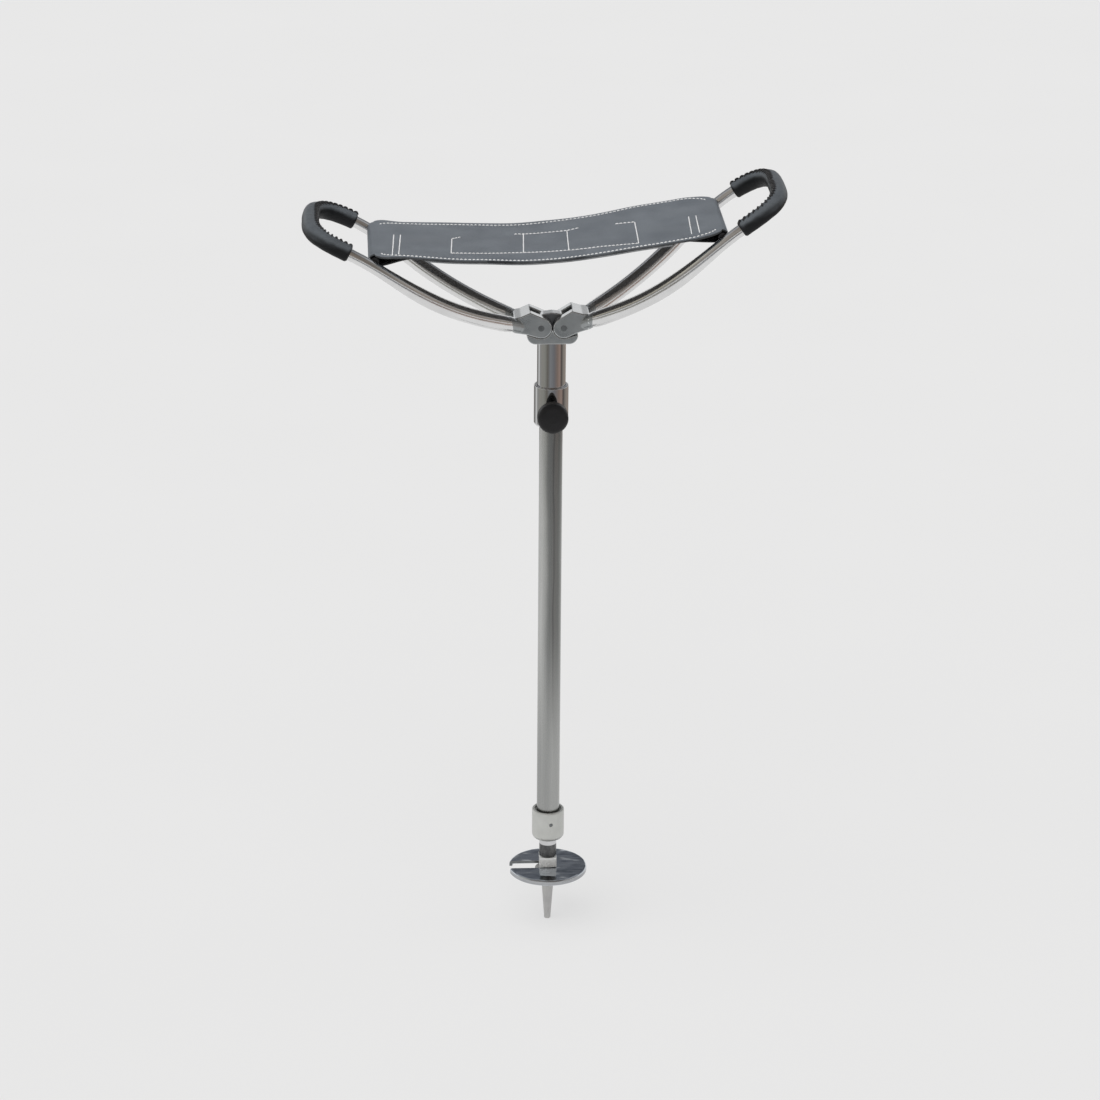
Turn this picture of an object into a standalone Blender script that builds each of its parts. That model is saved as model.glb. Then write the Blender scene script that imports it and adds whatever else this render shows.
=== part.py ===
"""Walking stick seat: a stick with a ground spike and two folding arms that carry a leather sling.

Metres, +Z up. The origin is the centre of the spike's blunt tip, the front is -Y, and the arms
open to -X and +X. Each piece is one object, built round the axis that it turns or stands on.
"""
import math

import bmesh
import bpy
from mathutils import Matrix, Vector

MM = 0.001

# Fits
GAP = 0.3 * MM                  # between two pieces that touch
LUG_GAP = 0.4 * MM              # between the arms' knuckles and the head
GRIP_GAP = 0.4 * MM             # between a grip and its rod

# Smoothness
ROUND = 32                      # sides of a turned piece
PLATE_ROUND = 56                # sides of the ground plate
SMALL_ROUND = 20                # sides of a pin or hole
ROD_SIDES = 14                  # sides of an arm's rod

# Spike
SPIKE_TIP_R = 3.2 * MM
SPIKE_TOP_R = 7.0 * MM
SPIKE_LENGTH = 54.4 * MM        # tip to flange
SPIKE_TIP_CHAMFER = 0.6 * MM
FLANGE_R = 13.0 * MM
FLANGE_T = 3.2 * MM
STUD_R = 5.0 * MM

# Ground plate
PLATE_R = 40.0 * MM
PLATE_SHEET = 3.0 * MM
PLATE_DEPTH = 5.6 * MM          # top face to the foot of the turned-down rim
PLATE_EDGE_R = 1.8 * MM
SLOT_W = 16.5 * MM

# Foot hub
HUB_SIDE = 17.6 * MM
HUB_H = 10.5 * MM
HUB_BEVEL = 0.8 * MM

# Ferrule
FERRULE_R = 16.4 * MM
FERRULE_H = 32.5 * MM
FERRULE_CORNER_R = 5.0 * MM
FERRULE_FLOOR = 4.5 * MM
FERRULE_MOUTH_R = 13.7 * MM
FERRULE_MOUTH_DEPTH = 3.0 * MM
FERRULE_LIP_R = 1.2 * MM
NECK_R = 8.8 * MM
NECK_H = 20.5 * MM
FERRULE_PIN_R = 1.6 * MM
FERRULE_PIN_Z = 20.0 * MM       # above the ferrule's underside
FERRULE_PIN_TURN = math.radians(8.0)

# Lower tube and its plug
TUBE_R = 11.6 * MM
TUBE_WALL = 1.6 * MM
TUBE_LENGTH = 490.7 * MM
PLUG_FLANGE_H = 6.0 * MM
PLUG_SPIGOT_L = 14.0 * MM
PLUG_BORE_R = 4.0 * MM

# Upper tube and clamp
INSERTION = 46.0 * MM           # length of lower tube above the collar's foot
UPPER_R = 14.1 * MM
UPPER_WALL = 1.5 * MM
UPPER_SHOWN = 46.0 * MM         # collar's top to the head's underside
COLLAR_R = 17.0 * MM
COLLAR_H = 41.3 * MM
COLLAR_STEP = 26.0 * MM         # collar's foot to the upper tube's end
COLLAR_FOOT_R = 2.6 * MM
COLLAR_LIP_R = 0.8 * MM
SCREW_Z = 17.0 * MM             # above the collar's foot
SCREW_R = 3.0 * MM
PAD_R = 2.8 * MM
PAD_T = 2.0 * MM
KNOB_R = 15.2 * MM
KNOB_FACE = 40.0 * MM           # tube axis to the knob's face
KNOB_HEAD_T = 15.5 * MM
KNOB_NECK_R = 8.0 * MM
KNOB_EDGE_R = 6.0 * MM
KNOB_STANDOFF = 1.2 * MM        # collar to the knob's neck
KNOB_WALL = 8.0 * MM            # over the screw's end

# Head casting
PIN_X = 11.0 * MM
PIN_R = 3.3 * MM
PIN_Z = 16.3 * MM               # head's underside to the hinge pins
HEAD_HALF_DEPTH = 16.0 * MM
HEAD_HALF_W = 25.0 * MM
HEAD_CORNER_R = 8.5 * MM
TONGUE_HALF = 6.0 * MM
TONGUE_R = 9.3 * MM
SADDLE_HALF = 8.5 * MM
SADDLE_Z = 11.6 * MM            # above the pins
SADDLE_PEAK = 1.1 * MM
CUSP_DROP = 2.0 * MM
SPIGOT_L = 15.0 * MM
HEAD_PIN_R = 1.6 * MM

# Arm knuckle, in the arm's own frame: u outward from the pin, v up, on its stop
LUG_R = 10.2 * MM
YOKE_SLOT = 10.8 * MM           # pin to the bottom of the tongue slot
YOKE_PEAK = (10.5 * MM, 15.8 * MM)
YOKE_SHOULDER = (20.0 * MM, 11.6 * MM)
YOKE_TOP = (27.0 * MM, 10.2 * MM)
YOKE_END = (30.0 * MM, 3.2 * MM)
YOKE_FOOT = (27.0 * MM, -4.4 * MM)
YOKE_STOP = (14.0 * MM, -6.5 * MM)

# Arm rod, by the length s along its middle line
ROD_START = 17.0 * MM
ROD_START_V = -0.1 * MM
ROD_START_HALF = 9.5 * MM      # half distance between the two rods
ROD_START_R = 5.4 * MM
ROD_FULL_AT = 38.0 * MM
ROD_R = 7.8 * MM
ROD_TAPER_AT = 110.0 * MM
LOOP_R = 5.8 * MM
LOOP_AT = 186.0 * MM
LOOP_END = 250.0 * MM
LOOP_HALF = 62.0 * MM
LOOP_SQUARE = 3.4               # 2 is an ellipse, more is squarer
FLARE = 1.05                    # how late the rods spread
SLOPE_ROOT = math.radians(18.9)
SLOPE_MID = math.radians(35.5)
SLOPE_TIP = math.radians(21.5)
SLOPE_FROM = 27.0 * MM
SLOPE_MID_AT = 154.0 * MM
LEG_STEPS = 15
BARE_STEPS = 2
GRIP_STEPS = 20

# Grips and sling bars
GRIP_LONG_AT = 203.0 * MM       # where the sleeve ends on one rod
GRIP_STAGGER = 6.5 * MM         # how much further out it ends on the other
GRIP_R = 8.2 * MM
BAR_TO_GRIP = 18.5 * MM         # sling bar's axis to the longer end of the sleeve
BAR_R = 4.0 * MM
BAR_RISE = 4.8 * MM             # above the rods' middle line
BAR_SEAT = 3.0 * MM             # depth of the bar's notch in a rod's inner side

# Pose of the photograph: each arm's lift off its stop
LEFT_LIFT = math.radians(0.0)
RIGHT_LIFT = math.radians(8.0)

# Sling
LEATHER_T = 2.4 * MM
LINING_T = 2.0 * MM
SAG = 12.5 * MM
SLING_HALF = 65.0 * MM          # half width
FOLD_GAP = 1.2 * MM             # between the fold round the bar and the rods
CORNER = 13.0 * MM
FLAP = 46.0 * MM
FLAP_CLOSE = 30.0 * MM          # where the flap meets the top layer
LINING_INSET = 0.6 * MM
SLING_STEPS = 20
CORNER_STEPS = 6
FOLD_STEPS = 12
FLAP_STEPS = 10

# Places along the arm
GRIP_SHORT_AT = GRIP_LONG_AT + GRIP_STAGGER
BAR_AT = GRIP_LONG_AT - BAR_TO_GRIP

# Levels, from the tip up
FLANGE_Z = SPIKE_LENGTH + FLANGE_T
PLATE_Z = FLANGE_Z + GAP
PLATE_TOP = PLATE_Z + PLATE_SHEET
HUB_Z = PLATE_TOP + GAP
NECK_Z = HUB_Z + HUB_H + GAP
FERRULE_Z = NECK_Z + NECK_H
FERRULE_TOP = FERRULE_Z + FERRULE_H
TUBE_Z = FERRULE_Z + FERRULE_FLOOR + GAP
TUBE_TOP = TUBE_Z + TUBE_LENGTH
COLLAR_Z = TUBE_TOP - INSERTION
COLLAR_TOP = COLLAR_Z + COLLAR_H
STEP_Z = COLLAR_Z + COLLAR_STEP
HEAD_Z = COLLAR_TOP + UPPER_SHOWN
HINGE_Z = HEAD_Z + PIN_Z

for old in list(bpy.data.objects):
    bpy.data.objects.remove(old, do_unlink=True)


def material(name, colour, metallic, roughness):
    """A Principled material with the piece's own finish."""
    made = bpy.data.materials.new(name)
    made.use_nodes = True
    shader = made.node_tree.nodes["Principled BSDF"]
    shader.inputs["Base Color"].default_value = (*colour, 1.0)
    shader.inputs["Metallic"].default_value = metallic
    shader.inputs["Roughness"].default_value = roughness
    return made


def add_object(name, bm, finish=None, at=(0, 0, 0), parent=None, smooth=40.0):
    """Close the bmesh into an object at a place; one without a finish is a cutter."""
    bmesh.ops.recalc_face_normals(bm, faces=bm.faces)
    mesh = bpy.data.meshes.new(name)
    bm.to_mesh(mesh)
    bm.free()
    mesh.shade_smooth()
    mesh.set_sharp_from_angle(angle=math.radians(smooth))
    made = bpy.data.objects.new(name, mesh)
    bpy.context.scene.collection.objects.link(made)
    made.location = at
    made.parent = parent
    if finish is None:
        made.hide_render = True
        made.display_type = "WIRE"
    else:
        mesh.materials.append(material(name, *finish))
    return made


def add_empty(name, at, turn_y=0.0):
    """A joint's axis: the pieces that move about it are its children."""
    made = bpy.data.objects.new(name, None)
    bpy.context.scene.collection.objects.link(made)
    made.location = at
    made.rotation_euler = (0.0, turn_y, 0.0)
    return made


def combine(target, operand, operation):
    """Join a shape to a piece or cut it out of it."""
    step = target.modifiers.new(operation.lower(), "BOOLEAN")
    step.operation = operation
    step.solver = "EXACT"
    step.object = operand


def turned(profile, sides=ROUND, axis="Z"):
    """Turn a closed outline of (radius, height) points round an axis."""
    bm = bmesh.new()
    rings = []
    for radius, height in profile:
        if radius <= 0.0:
            rings.append([bm.verts.new((0.0, 0.0, height))])
            continue
        ring = []
        for k in range(sides):
            angle = 2 * math.pi * (k + 0.5) / sides
            ring.append(bm.verts.new((radius * math.cos(angle), radius * math.sin(angle), height)))
        rings.append(ring)
    count = len(rings)
    for i in range(count):
        low, high = rings[i], rings[(i + 1) % count]
        if len(low) == 1 and len(high) == 1:
            continue
        for k in range(sides):
            after = (k + 1) % sides
            if len(low) == 1:
                bm.faces.new((low[0], high[after], high[k]))
            elif len(high) == 1:
                bm.faces.new((low[k], low[after], high[0]))
            else:
                bm.faces.new((low[k], low[after], high[after], high[k]))
    if axis == "-Y":
        bmesh.ops.rotate(bm, verts=bm.verts, matrix=Matrix.Rotation(math.pi / 2, 3, "X"))
    if axis == "X":
        bmesh.ops.rotate(bm, verts=bm.verts, matrix=Matrix.Rotation(math.pi / 2, 3, "Y"))
    return bm


def rod(radius, start, end, sides=SMALL_ROUND, axis="Z"):
    """A plain round bar between two heights on its axis."""
    return turned([(0.0, start), (radius, start), (radius, end), (0.0, end)], sides, axis)


def pipe(outer, inner, bottom, top, sides=ROUND):
    """A tube."""
    return turned([(outer, top), (outer, bottom), (inner, bottom), (inner, top)], sides)


def arc(centre, radius, start, end, steps):
    """Points of an arc in a plane, its angles in radians."""
    points = []
    for k in range(steps + 1):
        angle = start + (end - start) * k / steps
        points.append((centre[0] + radius * math.cos(angle), centre[1] + radius * math.sin(angle)))
    return points


def slab(outline, half_depth, sign=1.0):
    """Extrude an outline in XZ to both sides of the XZ plane; sign -1 mirrors it in X."""
    bm = bmesh.new()
    front = [bm.verts.new((sign * x, -half_depth, z)) for x, z in outline]
    back = [bm.verts.new((sign * x, half_depth, z)) for x, z in outline]
    bm.faces.new(front)
    bm.faces.new(list(reversed(back)))
    for i in range(len(outline)):
        j = (i + 1) % len(outline)
        bm.faces.new((front[j], front[i], back[i], back[j]))
    return bm


def box(low, high):
    """A block between two corners."""
    bm = bmesh.new()
    bmesh.ops.create_cube(bm, size=1.0)
    for v in bm.verts:
        v.co = Vector(lo + (c + 0.5) * (hi - lo) for c, lo, hi in zip(v.co, low, high))
    return bm


def loft(rings):
    """Skin a run of equal closed rings and cap both ends."""
    bm = bmesh.new()
    made = [[bm.verts.new(p) for p in ring] for ring in rings]
    count = len(made[0])
    for low, high in zip(made, made[1:]):
        for k in range(count):
            after = (k + 1) % count
            bm.faces.new((low[k], low[after], high[after], high[k]))
    bm.faces.new(list(reversed(made[0])))
    bm.faces.new(made[-1])
    return bm


def sleeve(outer_rings, inner_rings):
    """Skin two runs of rings, one inside the other, into an open-ended tube."""
    bm = bmesh.new()
    outer = [[bm.verts.new(p) for p in ring] for ring in outer_rings]
    inner = [[bm.verts.new(p) for p in ring] for ring in inner_rings]
    count = len(outer[0])
    for k in range(count):
        after = (k + 1) % count
        for low, high in zip(outer, outer[1:]):
            bm.faces.new((low[k], low[after], high[after], high[k]))
        for low, high in zip(inner, inner[1:]):
            bm.faces.new((low[after], low[k], high[k], high[after]))
        for edge in (0, -1):
            bm.faces.new((outer[edge][k], outer[edge][after], inner[edge][after], inner[edge][k]))
    return bm


def ease(t):
    """Smooth step from 0 to 1."""
    t = min(max(t, 0.0), 1.0)
    return t * t * (3.0 - 2.0 * t)


CHROME = ((0.72, 0.73, 0.75), 1.0, 0.08)
POLISHED = ((0.66, 0.67, 0.68), 1.0, 0.14)
SATIN = ((0.56, 0.57, 0.57), 1.0, 0.38)
STEEL = ((0.40, 0.41, 0.41), 1.0, 0.42)
BRASS = ((0.72, 0.55, 0.26), 1.0, 0.30)
BLACK_PLASTIC = ((0.018, 0.018, 0.020), 0.0, 0.38)
GREY_PLASTIC = ((0.20, 0.20, 0.21), 0.0, 0.50)
BLACK_LEATHER = ((0.030, 0.031, 0.034), 0.0, 0.55)
GREY_LEATHER = ((0.155, 0.168, 0.182), 0.0, 0.60)
DARK_LINING = ((0.050, 0.052, 0.056), 0.0, 0.70)

# Spike, with the flange that carries the plate and the stud that screws into the ferrule
STUD_TOP = FERRULE_Z
spike = add_object("spike", turned([
    (0.0, STUD_TOP),
    (STUD_R, STUD_TOP),
    (STUD_R, FLANGE_Z),
    (FLANGE_R, FLANGE_Z),
    (FLANGE_R, SPIKE_LENGTH),
    (SPIKE_TOP_R, SPIKE_LENGTH),
    (SPIKE_TIP_R, SPIKE_TIP_CHAMFER),
    (SPIKE_TIP_R - SPIKE_TIP_CHAMFER, 0.0),
    (0.0, 0.0),
]), STEEL)

# Ground plate: pressed sheet with a turned-down rim and a slot that slips round the hub
PLATE_FOOT = PLATE_TOP - PLATE_DEPTH
plate_edge = arc((PLATE_R - PLATE_EDGE_R, PLATE_TOP - PLATE_EDGE_R), PLATE_EDGE_R, math.pi / 2, 0.0, 4)
ground_plate = add_object("ground_plate", turned(
    [(0.0, PLATE_TOP)] + plate_edge
    + [(PLATE_R, PLATE_FOOT), (PLATE_R - PLATE_SHEET, PLATE_FOOT)]
    + [(PLATE_R - PLATE_SHEET, PLATE_Z), (0.0, PLATE_Z)],
    sides=PLATE_ROUND), CHROME)
slot_outline = arc((0.0, 0.0), SLOT_W / 2, -math.pi / 2, math.pi / 2, 14)
slot_outline += [(-2 * PLATE_R, SLOT_W / 2), (-2 * PLATE_R, -SLOT_W / 2)]
slot_cut = bmesh.new()
slot_low = [slot_cut.verts.new((x, y, PLATE_FOOT - PLATE_SHEET)) for x, y in slot_outline]
slot_high = [slot_cut.verts.new((x, y, PLATE_TOP + PLATE_SHEET)) for x, y in slot_outline]
slot_cut.faces.new(list(reversed(slot_low)))
slot_cut.faces.new(slot_high)
for i in range(len(slot_outline)):
    j = (i + 1) % len(slot_outline)
    slot_cut.faces.new((slot_low[i], slot_low[j], slot_high[j], slot_high[i]))
combine(ground_plate, add_object("plate_slot_cutter", slot_cut), "DIFFERENCE")

# Foot hub: a square block on the plate, with a round register that fills the slot's end
hub_half = HUB_SIDE / 2
foot_hub = add_object("foot_hub", box(
    (-hub_half, -hub_half, HUB_Z), (hub_half, hub_half, HUB_Z + HUB_H)), STEEL)
hub_bevel = foot_hub.modifiers.new("edges", "BEVEL")
hub_bevel.width = HUB_BEVEL
hub_bevel.segments = 2
combine(foot_hub, add_object("hub_register", rod(
    SLOT_W / 2 - GAP, FLANGE_Z + GAP, HUB_Z + HUB_H / 2, ROUND)), "UNION")
combine(foot_hub, add_object("hub_bore_cutter", rod(
    STUD_R + GAP, SPIKE_LENGTH, HUB_Z + 2 * HUB_H, ROUND)), "DIFFERENCE")

# Ferrule: a cup for the tube's foot, with a wider mouth and a neck for the spike's stud
FERRULE_BORE_R = TUBE_R + GAP
FERRULE_FLOOR_Z = FERRULE_Z + FERRULE_FLOOR
ferrule_corner = arc((FERRULE_R - FERRULE_CORNER_R, FERRULE_Z + FERRULE_CORNER_R), FERRULE_CORNER_R,
                     0.0, -math.pi / 2, 6)
ferrule_lip = arc((FERRULE_R - FERRULE_LIP_R, FERRULE_TOP - FERRULE_LIP_R), FERRULE_LIP_R,
                  math.pi / 2, 0.0, 3)
ferrule = add_object("ferrule", turned(
    [(FERRULE_MOUTH_R, FERRULE_TOP)] + ferrule_lip + ferrule_corner + [
        (NECK_R, FERRULE_Z),
        (NECK_R, NECK_Z),
        (STUD_R + GAP, NECK_Z),
        (STUD_R + GAP, FERRULE_FLOOR_Z),
        (FERRULE_BORE_R, FERRULE_FLOOR_Z),
        (FERRULE_BORE_R, FERRULE_TOP - FERRULE_MOUTH_DEPTH),
    ]), SATIN)

# Lower tube
lower_tube = add_object("lower_tube", pipe(TUBE_R, TUBE_R - TUBE_WALL, TUBE_Z, TUBE_TOP), SATIN)

# Ferrule pin: through the ferrule's front wall and the tube's wall
pin_level = FERRULE_Z + FERRULE_PIN_Z
pin_turn = Matrix.Rotation(FERRULE_PIN_TURN, 3, "Z")


def ferrule_pin_shape(radius, inner, outer):
    """A pin that points out of the ferrule's front."""
    bm = rod(radius, inner, outer, SMALL_ROUND, "-Y")
    bmesh.ops.rotate(bm, verts=bm.verts, matrix=pin_turn)
    return bm


ferrule_pin = add_object("ferrule_pin", ferrule_pin_shape(
    FERRULE_PIN_R, TUBE_R - TUBE_WALL, FERRULE_R - GAP), STEEL, (0, 0, pin_level))
pin_cut = add_object("ferrule_pin_cutter", ferrule_pin_shape(
    FERRULE_PIN_R + GAP, TUBE_R / 2, 2 * FERRULE_R), None, (0, 0, pin_level))
combine(ferrule, pin_cut, "DIFFERENCE")
combine(lower_tube, pin_cut, "DIFFERENCE")

# Tube plug: guides the tube's top in the upper tube, and its flange stops on the collar's step
plug_flange_z = TUBE_TOP + GAP
plug_flange_r = UPPER_R - UPPER_WALL - GAP
tube_plug = add_object("tube_plug", turned([
    (plug_flange_r, plug_flange_z + PLUG_FLANGE_H),
    (plug_flange_r, plug_flange_z),
    (TUBE_R - TUBE_WALL - GAP, plug_flange_z),
    (TUBE_R - TUBE_WALL - GAP, TUBE_TOP - PLUG_SPIGOT_L),
    (PLUG_BORE_R, TUBE_TOP - PLUG_SPIGOT_L),
    (PLUG_BORE_R, plug_flange_z + PLUG_FLANGE_H),
]), GREY_PLASTIC)

# What rises and sinks with the seat
carriage = add_empty("height_slide_axis", (0, 0, COLLAR_Z))
LEVEL = -COLLAR_Z               # world heights are given below, and the carriage stands at COLLAR_Z

# Upper tube
upper_tube = add_object("upper_tube", pipe(
    UPPER_R, UPPER_R - UPPER_WALL, STEP_Z + GAP, HEAD_Z - GAP), CHROME, (0, 0, LEVEL), carriage)

# Clamp collar: slides on the lower tube and carries the upper tube's foot on a step
collar_foot = arc((COLLAR_R - COLLAR_FOOT_R, COLLAR_Z + COLLAR_FOOT_R), COLLAR_FOOT_R, 0.0, -math.pi / 2, 4)
collar_lip = arc((COLLAR_R - COLLAR_LIP_R, COLLAR_TOP - COLLAR_LIP_R), COLLAR_LIP_R, math.pi / 2, 0.0, 2)
clamp_collar = add_object("clamp_collar", turned(
    [(UPPER_R + GAP, COLLAR_TOP)] + collar_lip + collar_foot + [
        (TUBE_R + GAP, COLLAR_Z),
        (TUBE_R + GAP, STEP_Z),
        (UPPER_R + GAP, STEP_Z),
    ]), CHROME, (0, 0, LEVEL), carriage)
screw_level = COLLAR_Z + SCREW_Z
combine(clamp_collar, add_object("screw_hole_cutter", rod(
    SCREW_R + GAP, TUBE_R / 2, 2 * COLLAR_R, SMALL_ROUND, "-Y"),
    None, (0, 0, screw_level + LEVEL), carriage), "DIFFERENCE")

# Pressure pad, clamp screw and knob, all on the screw's axis
screw_axis = add_empty("clamp_screw_axis", (0, 0, screw_level + LEVEL))
screw_axis.parent = carriage
pad_start = TUBE_R + GAP
pressure_pad = add_object("pressure_pad", rod(
    PAD_R, pad_start, pad_start + PAD_T, SMALL_ROUND, "-Y"), BRASS, parent=screw_axis)
screw_start = pad_start + PAD_T + GAP
screw_end = KNOB_FACE - KNOB_WALL
clamp_screw = add_object("clamp_screw", rod(
    SCREW_R, screw_start, screw_end, SMALL_ROUND, "-Y"), STEEL, parent=screw_axis)
knob_back = COLLAR_R + KNOB_STANDOFF
knob_shoulder = KNOB_FACE - KNOB_HEAD_T
knob_face = arc((KNOB_R - KNOB_EDGE_R, KNOB_FACE - KNOB_EDGE_R), KNOB_EDGE_R, 0.0, math.pi / 2, 5)
knob_rear = arc((KNOB_R - KNOB_EDGE_R, knob_shoulder + KNOB_EDGE_R), KNOB_EDGE_R, -math.pi / 2, 0.0, 4)
clamp_knob = add_object("clamp_knob", turned(
    [(SCREW_R + GAP, knob_back), (KNOB_NECK_R, knob_back), (KNOB_NECK_R, knob_shoulder)]
    + knob_rear + knob_face
    + [(0.0, KNOB_FACE), (0.0, screw_end + GAP), (SCREW_R + GAP, screw_end + GAP)],
    axis="-Y"), BLACK_PLASTIC, parent=screw_axis)

# Hinge head: base, tongue and spigot; x and z from the middle of the two hinge pins
lug_clear = LUG_R + LUG_GAP


def tangent(point, radius, side):
    """Angle of the point on a circle round (0, 0) whose tangent passes through a point outside it."""
    return math.atan2(point[1], point[0]) + side * math.acos(radius / math.hypot(*point))


def head_half_outline():
    """Right half of the base's front, from the cusp between the knuckles round to the underside."""
    rim = tangent((YOKE_STOP[0], YOKE_STOP[1] - LUG_GAP), lug_clear, -1.0)
    cusp = math.pi + math.asin(CUSP_DROP / lug_clear)
    cradle = arc((PIN_X, 0.0), lug_clear, cusp, rim + 2 * math.pi, 14)
    rise = YOKE_FOOT[1] - YOKE_STOP[1]
    run = YOKE_FOOT[0] - YOKE_STOP[0]
    edge_u = HEAD_HALF_W - PIN_X
    shoulder = (HEAD_HALF_W, YOKE_STOP[1] - LUG_GAP + max(0.0, edge_u - YOKE_STOP[0]) * rise / run)
    corner = arc((HEAD_HALF_W - HEAD_CORNER_R, HEAD_CORNER_R - PIN_Z), HEAD_CORNER_R, 0.0, -math.pi / 2, 7)
    return cradle + [shoulder] + corner


right_half = head_half_outline()
base_outline = [(-x, z) for x, z in reversed(right_half)] + right_half
HINGE_AT = (0, 0, HINGE_Z + LEVEL)
hinge_head = add_object("hinge_head", slab(base_outline, HEAD_HALF_DEPTH), POLISHED, HINGE_AT, carriage)

saddle_turn = tangent((SADDLE_HALF - PIN_X, SADDLE_Z), TONGUE_R, -1.0)
tongue_half_outline = [(0.0, SADDLE_Z + SADDLE_PEAK), (SADDLE_HALF, SADDLE_Z)]
tongue_half_outline += arc((PIN_X, 0.0), TONGUE_R, saddle_turn, -math.pi / 2, 10)
tongue_half_outline.append((PIN_X, (HEAD_CORNER_R - PIN_Z - TONGUE_R) / 2))
tongue_outline = tongue_half_outline + [(-x, z) for x, z in reversed(tongue_half_outline[1:])]
combine(hinge_head, add_object(
    "head_tongue", slab(tongue_outline, TONGUE_HALF), None, HINGE_AT, carriage), "UNION")
spigot_r = UPPER_R - UPPER_WALL - GAP
combine(hinge_head, add_object("head_spigot", rod(
    spigot_r, -PIN_Z - SPIGOT_L, -PIN_Z + GAP, ROUND), None, HINGE_AT, carriage), "UNION")
for side in (-1.0, 1.0):
    pin_at = (side * PIN_X, 0, HINGE_Z + LEVEL)
    hole = add_object("head_pin_hole_cutter", rod(
        PIN_R + GAP, -2 * HEAD_HALF_DEPTH, 2 * HEAD_HALF_DEPTH, SMALL_ROUND, "-Y"), None, pin_at, carriage)
    combine(hinge_head, hole, "DIFFERENCE")

# Cross pin that holds the upper tube on the spigot
cross_at = (0, 0, HEAD_Z - SPIGOT_L / 2 + LEVEL)
head_pin = add_object("head_pin", rod(
    HEAD_PIN_R, -UPPER_R + GAP, UPPER_R - GAP, SMALL_ROUND, "X"), STEEL, cross_at, carriage)
cross_cut = add_object("head_cross_cutter", rod(
    HEAD_PIN_R + GAP, -2 * UPPER_R, 2 * UPPER_R, SMALL_ROUND, "X"), None, cross_at, carriage)
combine(hinge_head, cross_cut, "DIFFERENCE")
combine(upper_tube, cross_cut, "DIFFERENCE")


# Arms: outline of the knuckle, middle line and section of the rods
def yoke_outline():
    """The knuckle's side: round the pin on the inside, a peak above, a stop face below."""
    low = tangent(YOKE_STOP, LUG_R, -1.0)
    high = tangent(YOKE_PEAK, LUG_R, 1.0)
    inner = arc((0.0, 0.0), LUG_R, low, high - 2 * math.pi, 22)
    return inner + [YOKE_PEAK, YOKE_SHOULDER, YOKE_TOP, YOKE_END, YOKE_FOOT, YOKE_STOP]


def slope(s):
    """Slope of the arm's middle line."""
    if s < SLOPE_MID_AT:
        return SLOPE_ROOT + (SLOPE_MID - SLOPE_ROOT) * ease((s - SLOPE_FROM) / (SLOPE_MID_AT - SLOPE_FROM))
    return SLOPE_MID + (SLOPE_TIP - SLOPE_MID) * ease((s - SLOPE_MID_AT) / (LOOP_END - SLOPE_MID_AT))


def middle_line(s, steps=160):
    """Place (u, v) and slope of the arm's middle line at length s."""
    u, v = ROD_START, ROD_START_V
    width = (s - ROD_START) / steps
    for k in range(steps):
        angle = slope(ROD_START + (k + 0.5) * width)
        u += width * math.cos(angle)
        v += width * math.sin(angle)
    return u, v, slope(s)


def rod_half(s):
    """Half distance between the two rods."""
    t = min((s - ROD_START) / (LOOP_AT - ROD_START), 1.0)
    return ROD_START_HALF + (LOOP_HALF - ROD_START_HALF) * math.sin(math.pi / 2 * t ** FLARE)


def rod_radius(s):
    """The rod swells out of the knuckle and tapers to the loop."""
    swell = ROD_START_R + (ROD_R - ROD_START_R) * ease((s - ROD_START) / (ROD_FULL_AT - ROD_START))
    return swell + (LOOP_R - ROD_R) * ease((s - ROD_TAPER_AT) / (LOOP_AT - ROD_TAPER_AT))


def loop_point(turn):
    """(length, side distance): turns from 0 to half a circle are the loop, others the legs."""
    if turn < 0.0 or turn > math.pi:
        s = LOOP_AT + (LOOP_END - LOOP_AT) * min(turn, math.pi - turn)
        return s, math.copysign(rod_half(s), turn)
    along = (LOOP_END - LOOP_AT) * math.sin(turn) ** (2 / LOOP_SQUARE)
    aside = LOOP_HALF * abs(math.cos(turn)) ** (2 / LOOP_SQUARE)
    return LOOP_AT + along, math.copysign(aside, -math.cos(turn))


def loop_turn(s):
    """The turn at which the front half of the rod reaches a length."""
    share = (s - LOOP_AT) / (LOOP_END - LOOP_AT)
    return math.asin(share ** (LOOP_SQUARE / 2)) if share > 0.0 else share


def even_turns(start, end, steps, fine=400):
    """Turns between two turns that are evenly spaced along the loop."""
    turns = [start + (end - start) * k / fine for k in range(fine + 1)]
    run = [0.0]
    for a, b in zip(turns, turns[1:]):
        run.append(run[-1] + math.dist(loop_point(a), loop_point(b)))
    picked = [start]
    for k in range(1, steps):
        after = next(i for i, length in enumerate(run) if length >= run[-1] * k / steps)
        picked.append(turns[after])
    return picked + [end]


def leg_stations(end):
    """(length, side distance) on the front leg, up to a length."""
    lengths = [ROD_START + (end - ROD_START) * k / LEG_STEPS for k in range(LEG_STEPS)]
    return [(s, -rod_half(s)) for s in lengths]


def loop_stations(front_at, back_at):
    """(length, side distance) along the whole rod, for a sleeve with these two ends."""
    front_end = min(LOOP_AT, front_at - GRIP_R)
    back_end = min(LOOP_AT, back_at - GRIP_R)
    front = loop_turn(front_at)
    back = math.pi - loop_turn(back_at)
    turns = even_turns(loop_turn(front_end), front, BARE_STEPS)[:-1]
    turns += even_turns(front, back, GRIP_STEPS)
    turns += even_turns(back, math.pi - loop_turn(back_end), BARE_STEPS)[1:]
    back_leg = [(s, -y) for s, y in reversed(leg_stations(back_end))]
    return leg_stations(front_end) + [loop_point(a) for a in turns] + back_leg


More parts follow.
